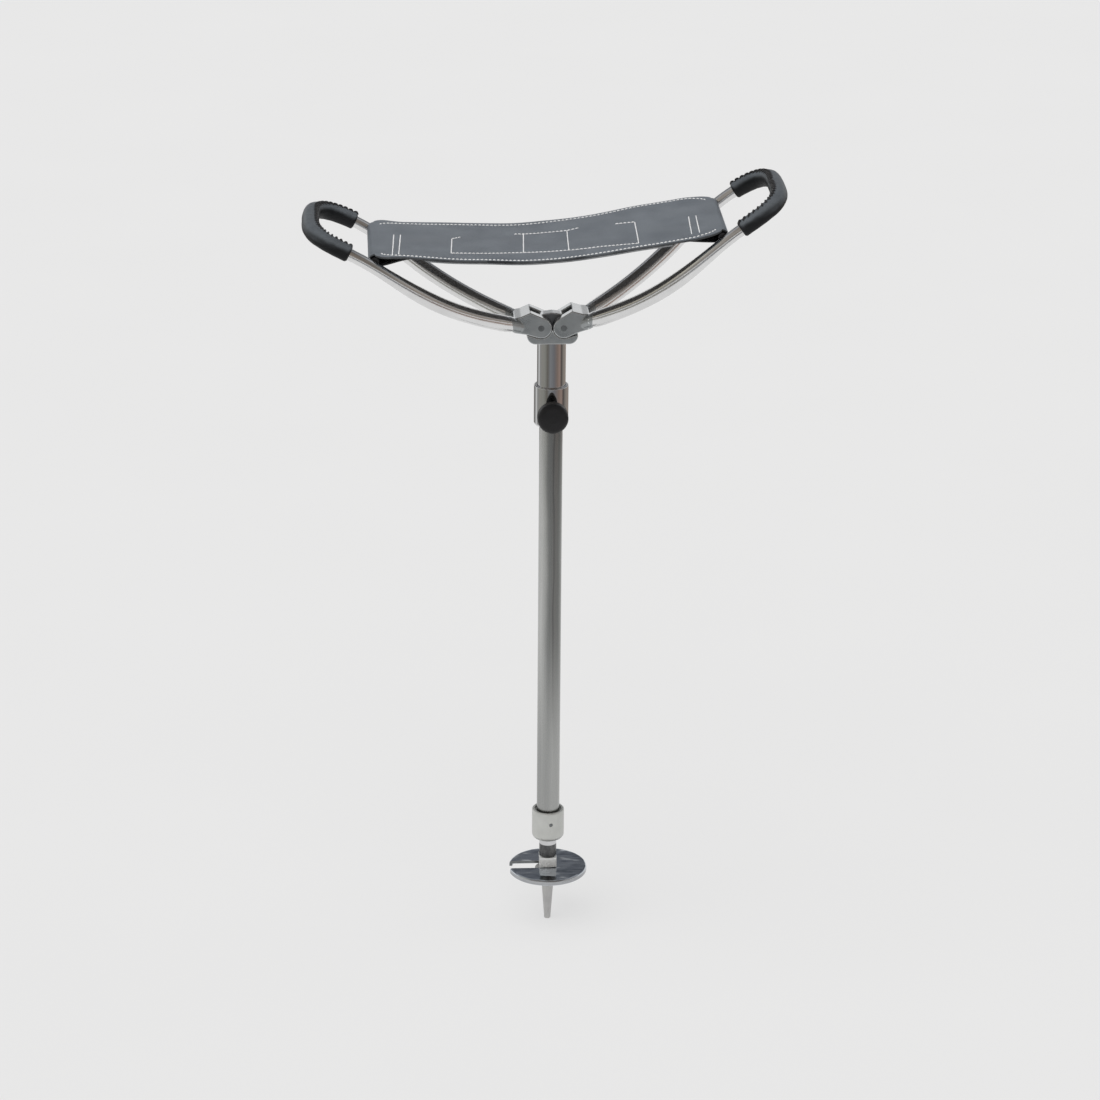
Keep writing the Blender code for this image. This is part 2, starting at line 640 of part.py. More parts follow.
def loop_rings(stations, radius_at, sign):
    """Round sections square to the rod's run, in the arm's frame."""
    lines = [middle_line(s) for s, y in stations]
    points = [Vector((u, y, v)) for (u, v, a), (s, y) in zip(lines, stations)]
    rings = []
    for i, (s, y) in enumerate(stations):
        along = (points[min(i + 1, len(points) - 1)] - points[max(i - 1, 0)]).normalized()
        angle = lines[i][2]
        up = Vector((-math.sin(angle), 0.0, math.cos(angle)))
        across = along.cross(up).normalized()
        up = across.cross(along)
        ring = []
        for k in range(ROD_SIDES):
            turn = 2 * math.pi * k / ROD_SIDES
            p = points[i] + radius_at(s) * (math.cos(turn) * across + math.sin(turn) * up)
            ring.append((sign * p.x, p.y, p.z))
        rings.append(ring)
    return rings


def bar_place():
    """The sling bar's axis in the arm's frame."""
    u, v, angle = middle_line(BAR_AT)
    return u - BAR_RISE * math.sin(angle), v + BAR_RISE * math.cos(angle)


def bar_in_world(sign, lift):
    """The sling bar's axis in the photographed pose: x and z."""
    u, v = bar_place()
    turned_u = u * math.cos(lift) - v * math.sin(lift)
    turned_v = u * math.sin(lift) + v * math.cos(lift)
    return sign * (PIN_X + turned_u), HINGE_Z + turned_v


BAR_SIDE = abs(loop_point(loop_turn(BAR_AT))[1])
ROD_GAP_HALF = BAR_SIDE - rod_radius(BAR_AT)    # half the clear width between the rods at the bar


def add_arm(side, sign, lift):
    """One arm with its hinge pin, grip and sling bar."""
    pin_at = (sign * PIN_X, 0, HINGE_Z + LEVEL)
    axis = add_empty(side + "_arm_axis", pin_at, -sign * lift)
    axis.parent = carriage
    arm = add_object(side + "_arm", slab(yoke_outline(), HEAD_HALF_DEPTH, sign), POLISHED, parent=axis)
    tongue_slot = box((-2 * LUG_R, -TONGUE_HALF - LUG_GAP, -2 * LUG_R),
                      (YOKE_SLOT, TONGUE_HALF + LUG_GAP, 2 * LUG_R))
    if sign < 0:
        bmesh.ops.rotate(tongue_slot, verts=tongue_slot.verts, matrix=Matrix.Rotation(math.pi, 3, "Z"))
    combine(arm, add_object(side + "_tongue_slot_cutter", tongue_slot, parent=axis), "DIFFERENCE")
    ends = (GRIP_SHORT_AT, GRIP_LONG_AT) if sign < 0 else (GRIP_LONG_AT, GRIP_SHORT_AT)
    stations = loop_stations(*ends)
    loop = add_object(side + "_loop", loft(loop_rings(stations, rod_radius, sign)), parent=axis)
    combine(arm, loop, "UNION")
    hole = rod(PIN_R + GAP, -2 * HEAD_HALF_DEPTH, 2 * HEAD_HALF_DEPTH, SMALL_ROUND, "-Y")
    combine(arm, add_object(side + "_lug_hole_cutter", hole, parent=axis), "DIFFERENCE")

    add_object(side + "_hinge_pin", rod(
        PIN_R, -HEAD_HALF_DEPTH + GAP, HEAD_HALF_DEPTH - GAP, SMALL_ROUND, "-Y"), STEEL, pin_at, carriage)

    gripped = stations[LEG_STEPS + BARE_STEPS:LEG_STEPS + BARE_STEPS + GRIP_STEPS + 1]
    outer = loop_rings(gripped, lambda s: GRIP_R, sign)
    inner = loop_rings(gripped, lambda s: rod_radius(s) + GRIP_GAP, sign)
    add_object(side + "_grip", sleeve(outer, inner), BLACK_LEATHER, parent=axis)

    u, v = bar_place()
    seat_half = ROD_GAP_HALF + BAR_SEAT
    seat = rod(BAR_R + GAP, -seat_half, seat_half, SMALL_ROUND, "-Y")
    combine(arm, add_object(side + "_bar_seat_cutter", seat, None, (sign * u, 0, v), axis), "DIFFERENCE")
    add_object(side + "_sling_bar", rod(
        BAR_R, GAP - seat_half, seat_half - GAP, SMALL_ROUND, "-Y"), STEEL, (sign * u, 0, v), axis)


add_arm("left", -1.0, LEFT_LIFT)
add_arm("right", 1.0, RIGHT_LIFT)


# Sling: a sagging strip between the two bars, turned round each bar and sewn to itself
left_bar = bar_in_world(-1.0, LEFT_LIFT)
right_bar = bar_in_world(1.0, RIGHT_LIFT)
WRAP_R = BAR_R + GAP + LEATHER_T / 2
span = right_bar[0] - left_bar[0]
chord_slope = (right_bar[1] - left_bar[1]) / span
end_slope = math.atan(chord_slope)
sling_ends = [(bar[0] - WRAP_R * math.sin(end_slope), bar[1] + WRAP_R * math.cos(end_slope))
              for bar in (left_bar, right_bar)]
SLING_MIDDLE = (sling_ends[0][0] + sling_ends[1][0]) / 2


def sling_line(x):
    """Height and upward normal of the top layer's middle surface."""
    (x0, z0), (x1, z1) = sling_ends
    t = (x - x0) / (x1 - x0)
    bow = max(4 * t * (1 - t), 0.0)
    z = z0 + (z1 - z0) * t - SAG * bow ** 1.5
    angle = math.atan((z1 - z0 - 6 * SAG * math.sqrt(bow) * (1 - 2 * t)) / (x1 - x0))
    return z, (-math.sin(angle), math.cos(angle))


FOLD_HALF = ROD_GAP_HALF - FOLD_GAP


def top_half(distance):
    """Half width of the top layer at a distance from the fold, with rounded corners."""
    corner = 1.0 - min(max(distance, 0.0) / CORNER, 1.0)
    return FOLD_HALF + (SLING_HALF - FOLD_HALF) * math.sqrt(1.0 - corner * corner)


def strip(stations, thickness):
    """Loft of a flat strip: each station is a point, its normal and a half width."""
    rings = []
    for (x, z), (nx, nz), half in stations:
        a = (x + nx * thickness / 2, z + nz * thickness / 2)
        b = (x - nx * thickness / 2, z - nz * thickness / 2)
        rings.append([(a[0], -half, a[1]), (a[0], half, a[1]), (b[0], half, b[1]), (b[0], -half, b[1])])
    return loft(rings)


def half_stations(sign):
    """Stations of one half's leather: middle to bar, round the bar, back as a flap."""
    bar = left_bar if sign < 0 else right_bar
    end_x = sling_ends[0][0] if sign < 0 else sling_ends[1][0]
    half_length = abs(end_x - SLING_MIDDLE) - GAP / 2
    stations = []
    runs = [half_length - (half_length - CORNER) * k / SLING_STEPS for k in range(SLING_STEPS)]
    runs += [CORNER * (1.0 - math.sin(math.pi / 2 * k / CORNER_STEPS)) for k in range(CORNER_STEPS + 1)]
    for distance in runs:
        x = end_x - sign * distance
        z, normal = sling_line(x)
        stations.append(((x, z), normal, top_half(distance)))
    up = stations[-1][1]
    start = math.atan2(up[1], up[0])
    for k in range(1, FOLD_STEPS + 1):
        angle = start - sign * math.pi * k / FOLD_STEPS
        normal = (math.cos(angle), math.sin(angle))
        at = (bar[0] + WRAP_R * normal[0], bar[1] + WRAP_R * normal[1])
        stations.append((at, normal, FOLD_HALF))
    layer = LEATHER_T + GAP
    for k in range(1, FLAP_STEPS + 1):
        distance = FLAP * k / FLAP_STEPS
        x = end_x - sign * distance
        z, normal = sling_line(x)
        below = layer + (2 * WRAP_R - layer) * (1.0 - ease(distance / FLAP_CLOSE))
        at = (x - below * normal[0], z - below * normal[1])
        stations.append((at, (-normal[0], -normal[1]), FOLD_HALF))
    return stations


def lining_stations(sign):
    """Stations of one half's lining: under the top layer, from the flap to the middle."""
    end_x = sling_ends[0][0] if sign < 0 else sling_ends[1][0]
    half_length = abs(end_x - SLING_MIDDLE) - GAP / 2
    below = (LEATHER_T + LINING_T) / 2 + GAP
    start = FLAP + LEATHER_T
    stations = []
    for k in range(SLING_STEPS + 1):
        distance = start + (half_length - start) * k / SLING_STEPS
        x = end_x - sign * distance
        z, normal = sling_line(x)
        at = (x - below * normal[0], z - below * normal[1])
        stations.append((at, normal, top_half(distance) - LINING_INSET))
    return stations


for name, sign, bar in (("left", -1.0, left_bar), ("right", 1.0, right_bar)):
    sling_axis = add_empty(name + "_sling_axis", (bar[0], 0, bar[1] + LEVEL))
    sling_axis.parent = carriage
    back = (-bar[0], 0, -bar[1])
    leather = strip(half_stations(sign), LEATHER_T)
    add_object("seat_leather_" + name, leather, GREY_LEATHER, back, sling_axis)
    lining = strip(lining_stations(sign), LINING_T)
    add_object("seat_lining_" + name, lining, DARK_LINING, back, sling_axis)
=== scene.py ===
"""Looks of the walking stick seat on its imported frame: metres, +Z up, the front at -Y."""
import math

import bmesh
import bpy
from mathutils import Matrix, Vector, noise


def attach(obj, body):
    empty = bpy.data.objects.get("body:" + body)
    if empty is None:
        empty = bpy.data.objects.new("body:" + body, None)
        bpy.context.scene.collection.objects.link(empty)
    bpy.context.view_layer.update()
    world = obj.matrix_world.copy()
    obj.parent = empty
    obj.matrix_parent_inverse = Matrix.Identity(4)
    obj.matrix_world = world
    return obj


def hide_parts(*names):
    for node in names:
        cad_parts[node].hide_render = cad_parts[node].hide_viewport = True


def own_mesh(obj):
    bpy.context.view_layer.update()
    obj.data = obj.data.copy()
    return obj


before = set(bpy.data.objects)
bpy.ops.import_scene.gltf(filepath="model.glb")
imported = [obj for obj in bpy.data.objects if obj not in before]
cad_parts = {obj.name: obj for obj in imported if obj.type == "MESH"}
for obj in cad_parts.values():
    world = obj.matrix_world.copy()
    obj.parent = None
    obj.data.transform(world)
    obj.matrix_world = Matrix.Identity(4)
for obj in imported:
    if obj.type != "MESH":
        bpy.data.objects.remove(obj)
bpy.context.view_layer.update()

MM = 0.001

# Photograph and camera
PHOTO_SIDE = 1100.0
PHOTO_FOCAL = 3800.0                    # in the photograph's pixels
SENSOR_MM = 36.0
CAMERA_DISTANCE = 3.8
CAMERA_PITCH = math.radians(21.05)      # down
CAMERA_YAW = math.radians(3.3)
CAMERA_ROLL = math.radians(0.44)
CAMERA_TARGET = Vector((0.0, 0.0, 0.4084))

# Smoothness of the visible pieces
TURN_SIDES = 112
ROD_SIDES = 30
SMALL_SIDES = 40
CAST_VOXEL = 0.45 * MM                  # grain of the castings' meshes
HEAD_PASSES = 5                         # smoothing of the castings' edges
KNUCKLE_PASSES = 8

# Foot: spike, plate, hub and ferrule
SPIKE_TIP_R = 3.2 * MM
SPIKE_TOP_R = 7.0 * MM
SPIKE_LENGTH = 54.4 * MM
FLANGE_R = 13.0 * MM
FLANGE_T = 3.2 * MM
STUD_R = 5.0 * MM
GAP = 0.3 * MM
PLATE_R = 40.0 * MM
PLATE_SHEET = 3.0 * MM
PLATE_DEPTH = 5.6 * MM
PLATE_RIM = 4.0 * MM                    # width of its outer band, which ends in the rounded edge
PLATE_EDGE_R = 2.2 * MM
SLOT_W = 16.5 * MM
HUB_SIDE = 17.6 * MM
HUB_H = 10.5 * MM
FERRULE_R = 16.4 * MM
FERRULE_H = 32.5 * MM
FERRULE_FLOOR = 4.5 * MM
FERRULE_FOOT_R = 5.0 * MM               # rounding of its foot
FERRULE_HOLE_R = 1.9 * MM
MOUTH_R = 13.7 * MM
MOUTH_DEPTH = 3.0 * MM
NECK_R = 8.8 * MM
NECK_H = 20.5 * MM
NECK_BEAD = (1.4 * MM, 1.6 * MM)        # how far the bead under the ferrule stands out, and its height
NECK_LAP = 0.2 * MM
NECK_BRIGHT = 6.5 * MM                  # length of its plain chrome upper end; below it the neck is painted dark as shade
FERRULE_PIN_Z = 20.0 * MM
FERRULE_PIN_TURN = math.radians(8.0)

# Tubes and clamp
TUBE_R = 11.6 * MM
TUBE_WALL = 1.6 * MM
TUBE_LENGTH = 490.7 * MM
INSERTION = 46.0 * MM
UPPER_R = 14.1 * MM
UPPER_WALL = 1.5 * MM
UPPER_SHOWN = 46.0 * MM
COLLAR_R = 17.0 * MM
COLLAR_H = 41.3 * MM
COLLAR_STEP = 26.0 * MM
COLLAR_FOOT_R = 2.6 * MM                # rounding of its foot
SCREW_Z = 17.0 * MM
SCREW_R = 3.0 * MM
SCREW_TIP = 2.6 * MM                    # from the lower tube to the tip, with the pad between
KNOB_R = 15.2 * MM
KNOB_FACE = 40.0 * MM
KNOB_HEAD_T = 15.5 * MM
KNOB_NECK_R = 8.0 * MM
KNOB_STANDOFF = 1.2 * MM
KNOB_WALL = 8.0 * MM
KNOB_BACK_R = 3.2 * MM                  # roundings of its back and rim
KNOB_RIM_R = 5.0 * MM
KNOB_DOME = (4.0 * MM, 1.2 * MM, 12.0 * MM)     # flat radius, height and rounding of its face

# Head casting, knuckles and pins
PIN_X = 11.0 * MM
PIN_R = 3.3 * MM
PIN_Z = 16.3 * MM
PIN_PROUD = 0.12 * MM
PEEN_R = (0.9 * MM, 1.4 * MM)           # the mark in a pin's front end: radius of its floor and its mouth
PEEN_DEPTH = (0.5 * MM, 0.4 * MM)       # at its middle, and at its floor's edge
HEAD_HALF_DEPTH = 16.0 * MM
HEAD_HALF_W = 25.0 * MM
HEAD_CORNER_R = 8.5 * MM
TONGUE_HALF = 6.0 * MM
TONGUE_R = 9.3 * MM
SADDLE_HALF = 8.5 * MM
SADDLE_Z = 11.6 * MM
SADDLE_PEAK = 1.1 * MM
CUSP_DROP = 2.0 * MM
SPIGOT_L = 15.0 * MM
SPIGOT_LAP = 0.4 * MM                   # into the base
HEAD_EDGE = 0.2 * MM                    # rounding of the slabs' rims before they are cast
YOKE_EDGE = 0.3 * MM
LUG_R = 10.2 * MM
LUG_GAP = 0.4 * MM
YOKE_SLOT = 10.8 * MM
YOKE_PEAK = (10.5 * MM, 15.8 * MM, 1.0 * MM)
YOKE_SHOULDER = (20.0 * MM, 11.6 * MM, 5.0 * MM)
YOKE_TOP = (27.0 * MM, 10.2 * MM, 3.0 * MM)
YOKE_END = (30.0 * MM, 3.2 * MM, 4.0 * MM)
YOKE_FOOT = (27.0 * MM, -4.4 * MM, 3.0 * MM)
YOKE_STOP = (14.0 * MM, -6.5 * MM, 0.8 * MM)

# Arm rods, by the length s along the arm's middle line
ROD_START = 17.0 * MM
ROD_START_V = -0.1 * MM
ROD_START_HALF = 9.5 * MM
ROD_START_R = 5.4 * MM
ROD_FULL_AT = 38.0 * MM
ROOT_AT = 33.0 * MM                     # the casting's skin reaches along the rods to here
ROOT_SLANT = 4.0 * MM                   # further on top, and less below
ROOT_SKIN = 0.60 * MM
ROOT_DIVE = (1.6, 6)                    # by how many skins its end sinks, and how late
ROOT_SQUARE = 2.5                       # 2 is round, more is squarer
ROOT_ROUND_AT = 75.0 * MM
ROD_R = 7.8 * MM
ROD_TAPER_AT = 110.0 * MM
LOOP_R = 5.8 * MM
LOOP_AT = 186.0 * MM
LOOP_END = 250.0 * MM
LOOP_HALF = 62.0 * MM
LOOP_SQUARE = 3.4
FLARE = 1.05
SLOPE_ROOT = math.radians(18.9)
SLOPE_MID = math.radians(35.5)
SLOPE_TIP = math.radians(21.5)
SLOPE_FROM = 27.0 * MM
SLOPE_MID_AT = 154.0 * MM
LEFT_LIFT = math.radians(0.0)
RIGHT_LIFT = math.radians(8.0)

# Grips and sling bars
GRIP_LONG_AT = 203.0 * MM
GRIP_SHORT_AT = 209.5 * MM
GRIP_R = 8.0 * MM
GRIP_SQUARE = 2.6                       # 2 is round, more is squarer
SLEEVE_GAP = 0.3 * MM                   # between the sleeve and the rod
SEAM_GROOVE = 0.9 * MM                  # its depth, and its half width
SEAM_WELT = (0.35 * MM, 2.0 * MM, 1.1 * MM)     # height, distance from the groove and half width
WRINKLE = 0.22 * MM
WRINKLE_CELLS = (34.0, 1.6)             # along the whole sleeve, and out from its middle
TOP_LIGHT_WEAR = (0.05, 0.65)                     # upward slant where the lighter top colour starts, and its span: painted top light, with rubbing
ROLLED_END = (1.5 * MM, 2.6 * MM)       # depth and length
LACE_R = 1.05 * MM
LACE_PITCH = 5.2 * MM
LACE_SPREAD = 2.6 * MM                  # half its reach over the seam
LACE_SLANT = 1.7 * MM
LACE_LIFT = 0.95 * MM
LACE_DIP = 0.45 * MM
LACE_CLEAR = 0.1 * MM
LEFT_SEAM = (108.0, 118.0, 72.0)        # degrees from the sleeve's outer side over its top: front, end, back
RIGHT_SEAM = (76.0, 104.0, 72.0)
BAR_AT = 184.5 * MM
BAR_R = 4.0 * MM
BAR_RISE = 4.8 * MM
BAR_SEAT = 3.0 * MM

# Arms and grips: side, sign of X, lift and seam
ARMS = (("left", -1.0, LEFT_LIFT, LEFT_SEAM), ("right", 1.0, RIGHT_LIFT, RIGHT_SEAM))

# Sling
LEATHER_T = 2.0 * MM
LINING_T = 1.4 * MM
WRAP_R = 5.5 * MM
SAG = 12.5 * MM
TWIST = (-1.2 * MM, 2.5 * MM)           # lift of the far edge at the left bar and at the right one
SLACKS = (                              # lift, place and half width of each
    (-0.9 * MM, -30.0 * MM, 45.0 * MM),
    (1.4 * MM, 90.0 * MM, 40.0 * MM),
)
PUCKER = 0.9 * MM
PUCKER_NOISE = (24.0, 30.0, 3.7)        # cells a metre along and across, and the layer of the noise
EDGE_ROLL = (1.1 * MM, 9.0 * MM)        # drop and width
FREE_AT = 30.0 * MM                     # from here on the bars don't hold the sheet flat
NEAR_HALF = 67.0 * MM                   # half width towards the front
FAR_HALF = 64.0 * MM
FOLD_GAP = 0.5 * MM
FOLD_FINER = 1.35                       # 1 is even, more makes finer steps near the fold
CORNER = 13.0 * MM
FLAP = 46.0 * MM
FLAP_CLOSE = 45.0 * MM
FLAP_LAYER = 2.7 * MM                   # how far below the top layer the flap comes to lie
LINING_START = FLAP + 2.4 * MM
LINING_GAP = 0.15 * MM
LEATHER_COLUMNS = 56
LINING_COLUMNS = 40
LINING_RUNS = 40
RIM_SIDES = 4
STITCH_PITCH = 3.9 * MM
STITCH_L = 3.4 * MM
STITCH_R = 0.64 * MM
STITCH_TIP = 0.06                       # share of its length over which its end stays thin
STITCH_RISE = 0.75                      # its swell lifts it by so many radii
STITCH_SINK = 0.45                      # and all of it lies so many radii deep
EDGE_STITCH = (0.12, 0.88)              # start and end in the pitch, along the seat's edges

# Levels
FLANGE_Z = SPIKE_LENGTH + FLANGE_T
PLATE_Z = FLANGE_Z + GAP
PLATE_TOP = PLATE_Z + PLATE_SHEET
PLATE_FOOT = PLATE_TOP - PLATE_DEPTH
HUB_Z = PLATE_TOP + GAP
NECK_Z = HUB_Z + HUB_H + GAP
FERRULE_Z = NECK_Z + NECK_H
FERRULE_TOP = FERRULE_Z + FERRULE_H
TUBE_Z = FERRULE_Z + FERRULE_FLOOR + GAP
TUBE_TOP = TUBE_Z + TUBE_LENGTH
COLLAR_Z = TUBE_TOP - INSERTION
COLLAR_TOP = COLLAR_Z + COLLAR_H
STEP_Z = COLLAR_Z + COLLAR_STEP
HEAD_Z = COLLAR_TOP + UPPER_SHOWN
HINGE_Z = HEAD_Z + PIN_Z


# Node graphs
def feed(tree, node, sockets):
    """Set a node's sockets to values, or link them to the outputs of other nodes."""
    for key, value in sockets.items():
        if isinstance(value, bpy.types.NodeSocket):
            tree.links.new(value, node.inputs[key])
        else:
            node.inputs[key].default_value = value


def add_node(tree, kind, sockets=None, **settings):
    """A shader node with its properties and fed sockets."""
    made = tree.nodes.new("ShaderNode" + kind)
    for key, value in settings.items():
        setattr(made, key, value)
    feed(tree, made, sockets or {})
    return made


def start_material(name):
    """A new node material, with its tree and Principled shader."""
    made = bpy.data.materials.new(name)
    made.use_nodes = True
    return made, made.node_tree, made.node_tree.nodes["Principled BSDF"]


def coordinates(tree, kind="Object"):
    """The piece's own coordinates, or another kind."""
    return add_node(tree, "TexCoord").outputs[kind]


def part_of(tree, vector, axis):
    """One component of a vector."""
    return add_node(tree, "SeparateXYZ", {"Vector": vector}).outputs[axis]


def turn_round(tree):
    """The turn round Z, from 0 at -X over the front and +X to 1."""
    return add_node(tree, "TexGradient", {"Vector": coordinates(tree)}, gradient_type="RADIAL").outputs["Fac"]


def scaled_noise(tree, scale, detail=4.0, roughness=0.55):
    """Noise over the piece's own coordinates, in cells a metre: one number, or one each for X, Y and Z."""
    cells_a_metre = scale if isinstance(scale, tuple) else (scale, scale, scale)
    stretch = add_node(tree, "Mapping", {"Vector": coordinates(tree), "Scale": cells_a_metre})
    return add_node(tree, "TexNoise", {"Vector": stretch.outputs["Vector"], "Scale": 1.0, "Detail": detail,
                                       "Roughness": roughness}).outputs["Fac"]


def mapped(tree, value, low, high, start=0.3, end=0.7, kind="LINEAR"):
    """A value of about 0.3 to 0.7 spread between two numbers."""
    return add_node(tree, "MapRange", {"Value": value, "From Min": start, "From Max": end, "To Min": low,
                                       "To Max": high}, interpolation_type=kind).outputs["Result"]


def between(tree, value, start, end, low=0.0, high=1.0):
    """A value eased between two levels over a span."""
    return mapped(tree, value, low, high, start, end, "SMOOTHSTEP")


def toned(tree, value, stops):
    """A colour ramp through (position, tone) stops."""
    ramp = add_node(tree, "ValToRGB", {"Fac": value})
    made = ramp.color_ramp.elements
    for stop, (position, tone) in zip(made, (stops[0], stops[-1])):
        stop.position = position
        stop.color = (*tone, 1.0)
    for position, tone in stops[1:-1]:
        made.new(position).color = (*tone, 1.0)
    return ramp.outputs["Color"]


def two_tone(tree, value, dark, light, start=0.3, end=0.7):
    """A colour between two, by a value."""
    return toned(tree, value, [(start, dark), (end, light)])


def mixed(tree, factor, first, second, blend="MIX"):
    """Two colours mixed, or blended in another way."""
    return add_node(tree, "Mix", {"Factor": factor, "A": first, "B": second}, data_type="RGBA",
                    blend_type=blend).outputs["Result"]


def reckoned(tree, operation, *values, clamped=True):
    """A sum, product or other result of linked values and numbers."""
    return add_node(tree, "Math", dict(enumerate(values)), operation=operation,
                    use_clamp=clamped).outputs["Value"]


def bumped(tree, height, strength, distance):
    """The normal that a height gives."""
    return add_node(tree, "Bump", {"Height": height, "Strength": strength,
                                   "Distance": distance}).outputs["Normal"]


# Kinds of finish
LINE_ROUGH = 0.65
LIT_TOPS = (0.60, 0.78)              # upward slant from which a casting's face gets the lighter tone: painted top light
RUBBED_LIT_EDGES = (0.51, 0.55)             # and how sharp an edge has to be for it: edge rubbing with a painted highlight
RUBBED_SATIN = 0.35                     # share of its roughness left where the lighter tone is painted
CREASE_WIDTH = 0.22                     # of leather, in cells
CREASE_SHADE = 0.35
FINE_GRAIN = 0.25


def metal(name, dark, light, rough, grain, bump, blotch, metallic=1.0, wave=0.3 * MM, detail=6.0):
    """Metal with blotchy tone, uneven roughness and fine lines along its working direction."""
    made, tree, shader = start_material(name)
    lines = scaled_noise(tree, grain, detail, LINE_ROUGH)
    feed(tree, shader, {
        "Metallic": metallic,
        "Base Color": two_tone(tree, scaled_noise(tree, blotch, 5.0), dark, light),
        "Roughness": mapped(tree, lines, *rough),
        "Normal": bumped(tree, lines, bump, wave),
    })
    return made


def drawn_metal(name, dark, light, painted_reflections, fade, rough, grain):
    """A drawn tube, with painted reflections in long bands by the turn round it, which come in between two
    heights.
    """
    made, tree, shader = start_material(name)
    wander = mapped(tree, scaled_noise(tree, (40.0, 40.0, 7.0), 3.0), -0.02, 0.02)
    # Painted reflections: tones by the turn round the tube, a little wavering.
    reflection_bands = toned(tree, reckoned(tree, "ADD", turn_round(tree), wander), painted_reflections)
    plain = two_tone(tree, scaled_noise(tree, (110.0, 110.0, 2.5), 5.0), dark, light)
    height = part_of(tree, coordinates(tree), "Z")
    lines = scaled_noise(tree, grain, 6.0, LINE_ROUGH)
    feed(tree, shader, {
        "Metallic": 1.0,
        "Base Color": mixed(tree, between(tree, height, *fade, 0.0, 0.9), plain, reflection_bands),
        "Roughness": mapped(tree, lines, *rough),
        "Normal": bumped(tree, lines, 0.05, 0.3 * MM),
    })
    return made


def cast_metal(name, dark, light, rough, grain, bump, metallic, rubbed_and_lit=None):
    """Tumbled cast metal: a fine pebbled skin with darker pits; the last argument is a lighter tone, painted
    on upward faces as top light and on sharp edges as edge rubbing with a highlight.
    """
    made, tree, shader = start_material(name)
    cloud = scaled_noise(tree, 60.0, 6.0, LINE_ROUGH)
    tone = two_tone(tree, cloud, dark, light)
    satin = mapped(tree, cloud, *rough)
    if rubbed_and_lit:
        # Painted light: upward faces and sharp edges get the lighter tone; on the edges it also stands for
        # rubbing.
        tops = mapped(tree, part_of(tree, coordinates(tree, "Normal"), "Z"), 0.0, 1.0, *LIT_TOPS)
        edges = mapped(tree, add_node(tree, "NewGeometry").outputs["Pointiness"], 0.0, 1.0, *RUBBED_LIT_EDGES)
        bright = reckoned(tree, "ADD", tops, edges)
        tone = mixed(tree, bright, tone, (*rubbed_and_lit, 1.0))
        satin = reckoned(tree, "MULTIPLY", satin, mapped(tree, bright, 1.0, RUBBED_SATIN, 0.0, 1.0))
    feed(tree, shader, {
        "Metallic": metallic,
        "Base Color": tone,
        "Roughness": satin,
        "Normal": bumped(tree, scaled_noise(tree, grain, 3.0, 0.6), bump, 0.2 * MM),
    })
    return made


def plastic(name, dark, light, rough, gloss=0.5):
    """Moulded plastic with a fine satin skin."""
    made, tree, shader = start_material(name)
    satin = scaled_noise(tree, 1600.0, 2.0)
    feed(tree, shader, {
        "Specular IOR Level": gloss,
        "Base Color": two_tone(tree, scaled_noise(tree, 45.0), dark, light),
        "Roughness": mapped(tree, satin, *rough),
        "Normal": bumped(tree, satin, 0.12, 0.15 * MM),
    })
    return made


def leather(name, dark, light, rough, cell, bump, gloss, worn_and_lit=None):
    """Leather: a pebbled grain of creases between cells, with clouded tone; the last argument is a lighter
    colour painted on upward faces as top light, with rubbing.
    """
    made, tree, shader = start_material(name)
    cells = add_node(tree, "TexVoronoi", {"Vector": coordinates(tree), "Scale": 1.0 / cell,
                                          "Randomness": 1.0}, feature="DISTANCE_TO_EDGE")
    pebble = mapped(tree, cells.outputs["Distance"], 0.0, 1.0, 0.0, CREASE_WIDTH)
    cloud = scaled_noise(tree, 38.0, 6.0, 0.6)
    tone = two_tone(tree, cloud, dark, light, 0.35, 0.68)
    if worn_and_lit:
        # Painted top light, with rubbing: upward faces get the lighter colour, in patches.
        wear_and_top_light = add_node(tree, "Attribute", attribute_name="wear_and_top_light").outputs["Fac"]
        patchy = reckoned(tree, "MULTIPLY", wear_and_top_light, mapped(tree, cloud, 0.65, 1.0))
        tone = mixed(tree, patchy, tone, (*worn_and_lit, 1.0))
    # Painted shade: the creases between the cells are darkened.
    creases = two_tone(tree, pebble, (0.55, 0.55, 0.55), (1.0, 1.0, 1.0), 0.0, 0.6)
    fine = scaled_noise(tree, 2200.0, 2.0)
    height = reckoned(tree, "MULTIPLY_ADD", fine, FINE_GRAIN, pebble, clamped=False)
    feed(tree, shader, {
        "Specular IOR Level": gloss,
        "Base Color": mixed(tree, CREASE_SHADE, tone, creases, "MULTIPLY"),
        "Roughness": mapped(tree, cloud, *rough),
        "Normal": bumped(tree, height, bump, 0.12 * MM),
    })
    return made


def thread(name, dark, light, rough):
    """Twisted sewing thread."""
    made, tree, shader = start_material(name)
    strand = scaled_noise(tree, 2600.0, 3.0)
    feed(tree, shader, {
        "Sheen Weight": 0.15,
        "Base Color": two_tone(tree, strand, dark, light),
        "Roughness": mapped(tree, strand, *rough),
        "Normal": bumped(tree, strand, 0.4, 0.15 * MM),
    })
    return made


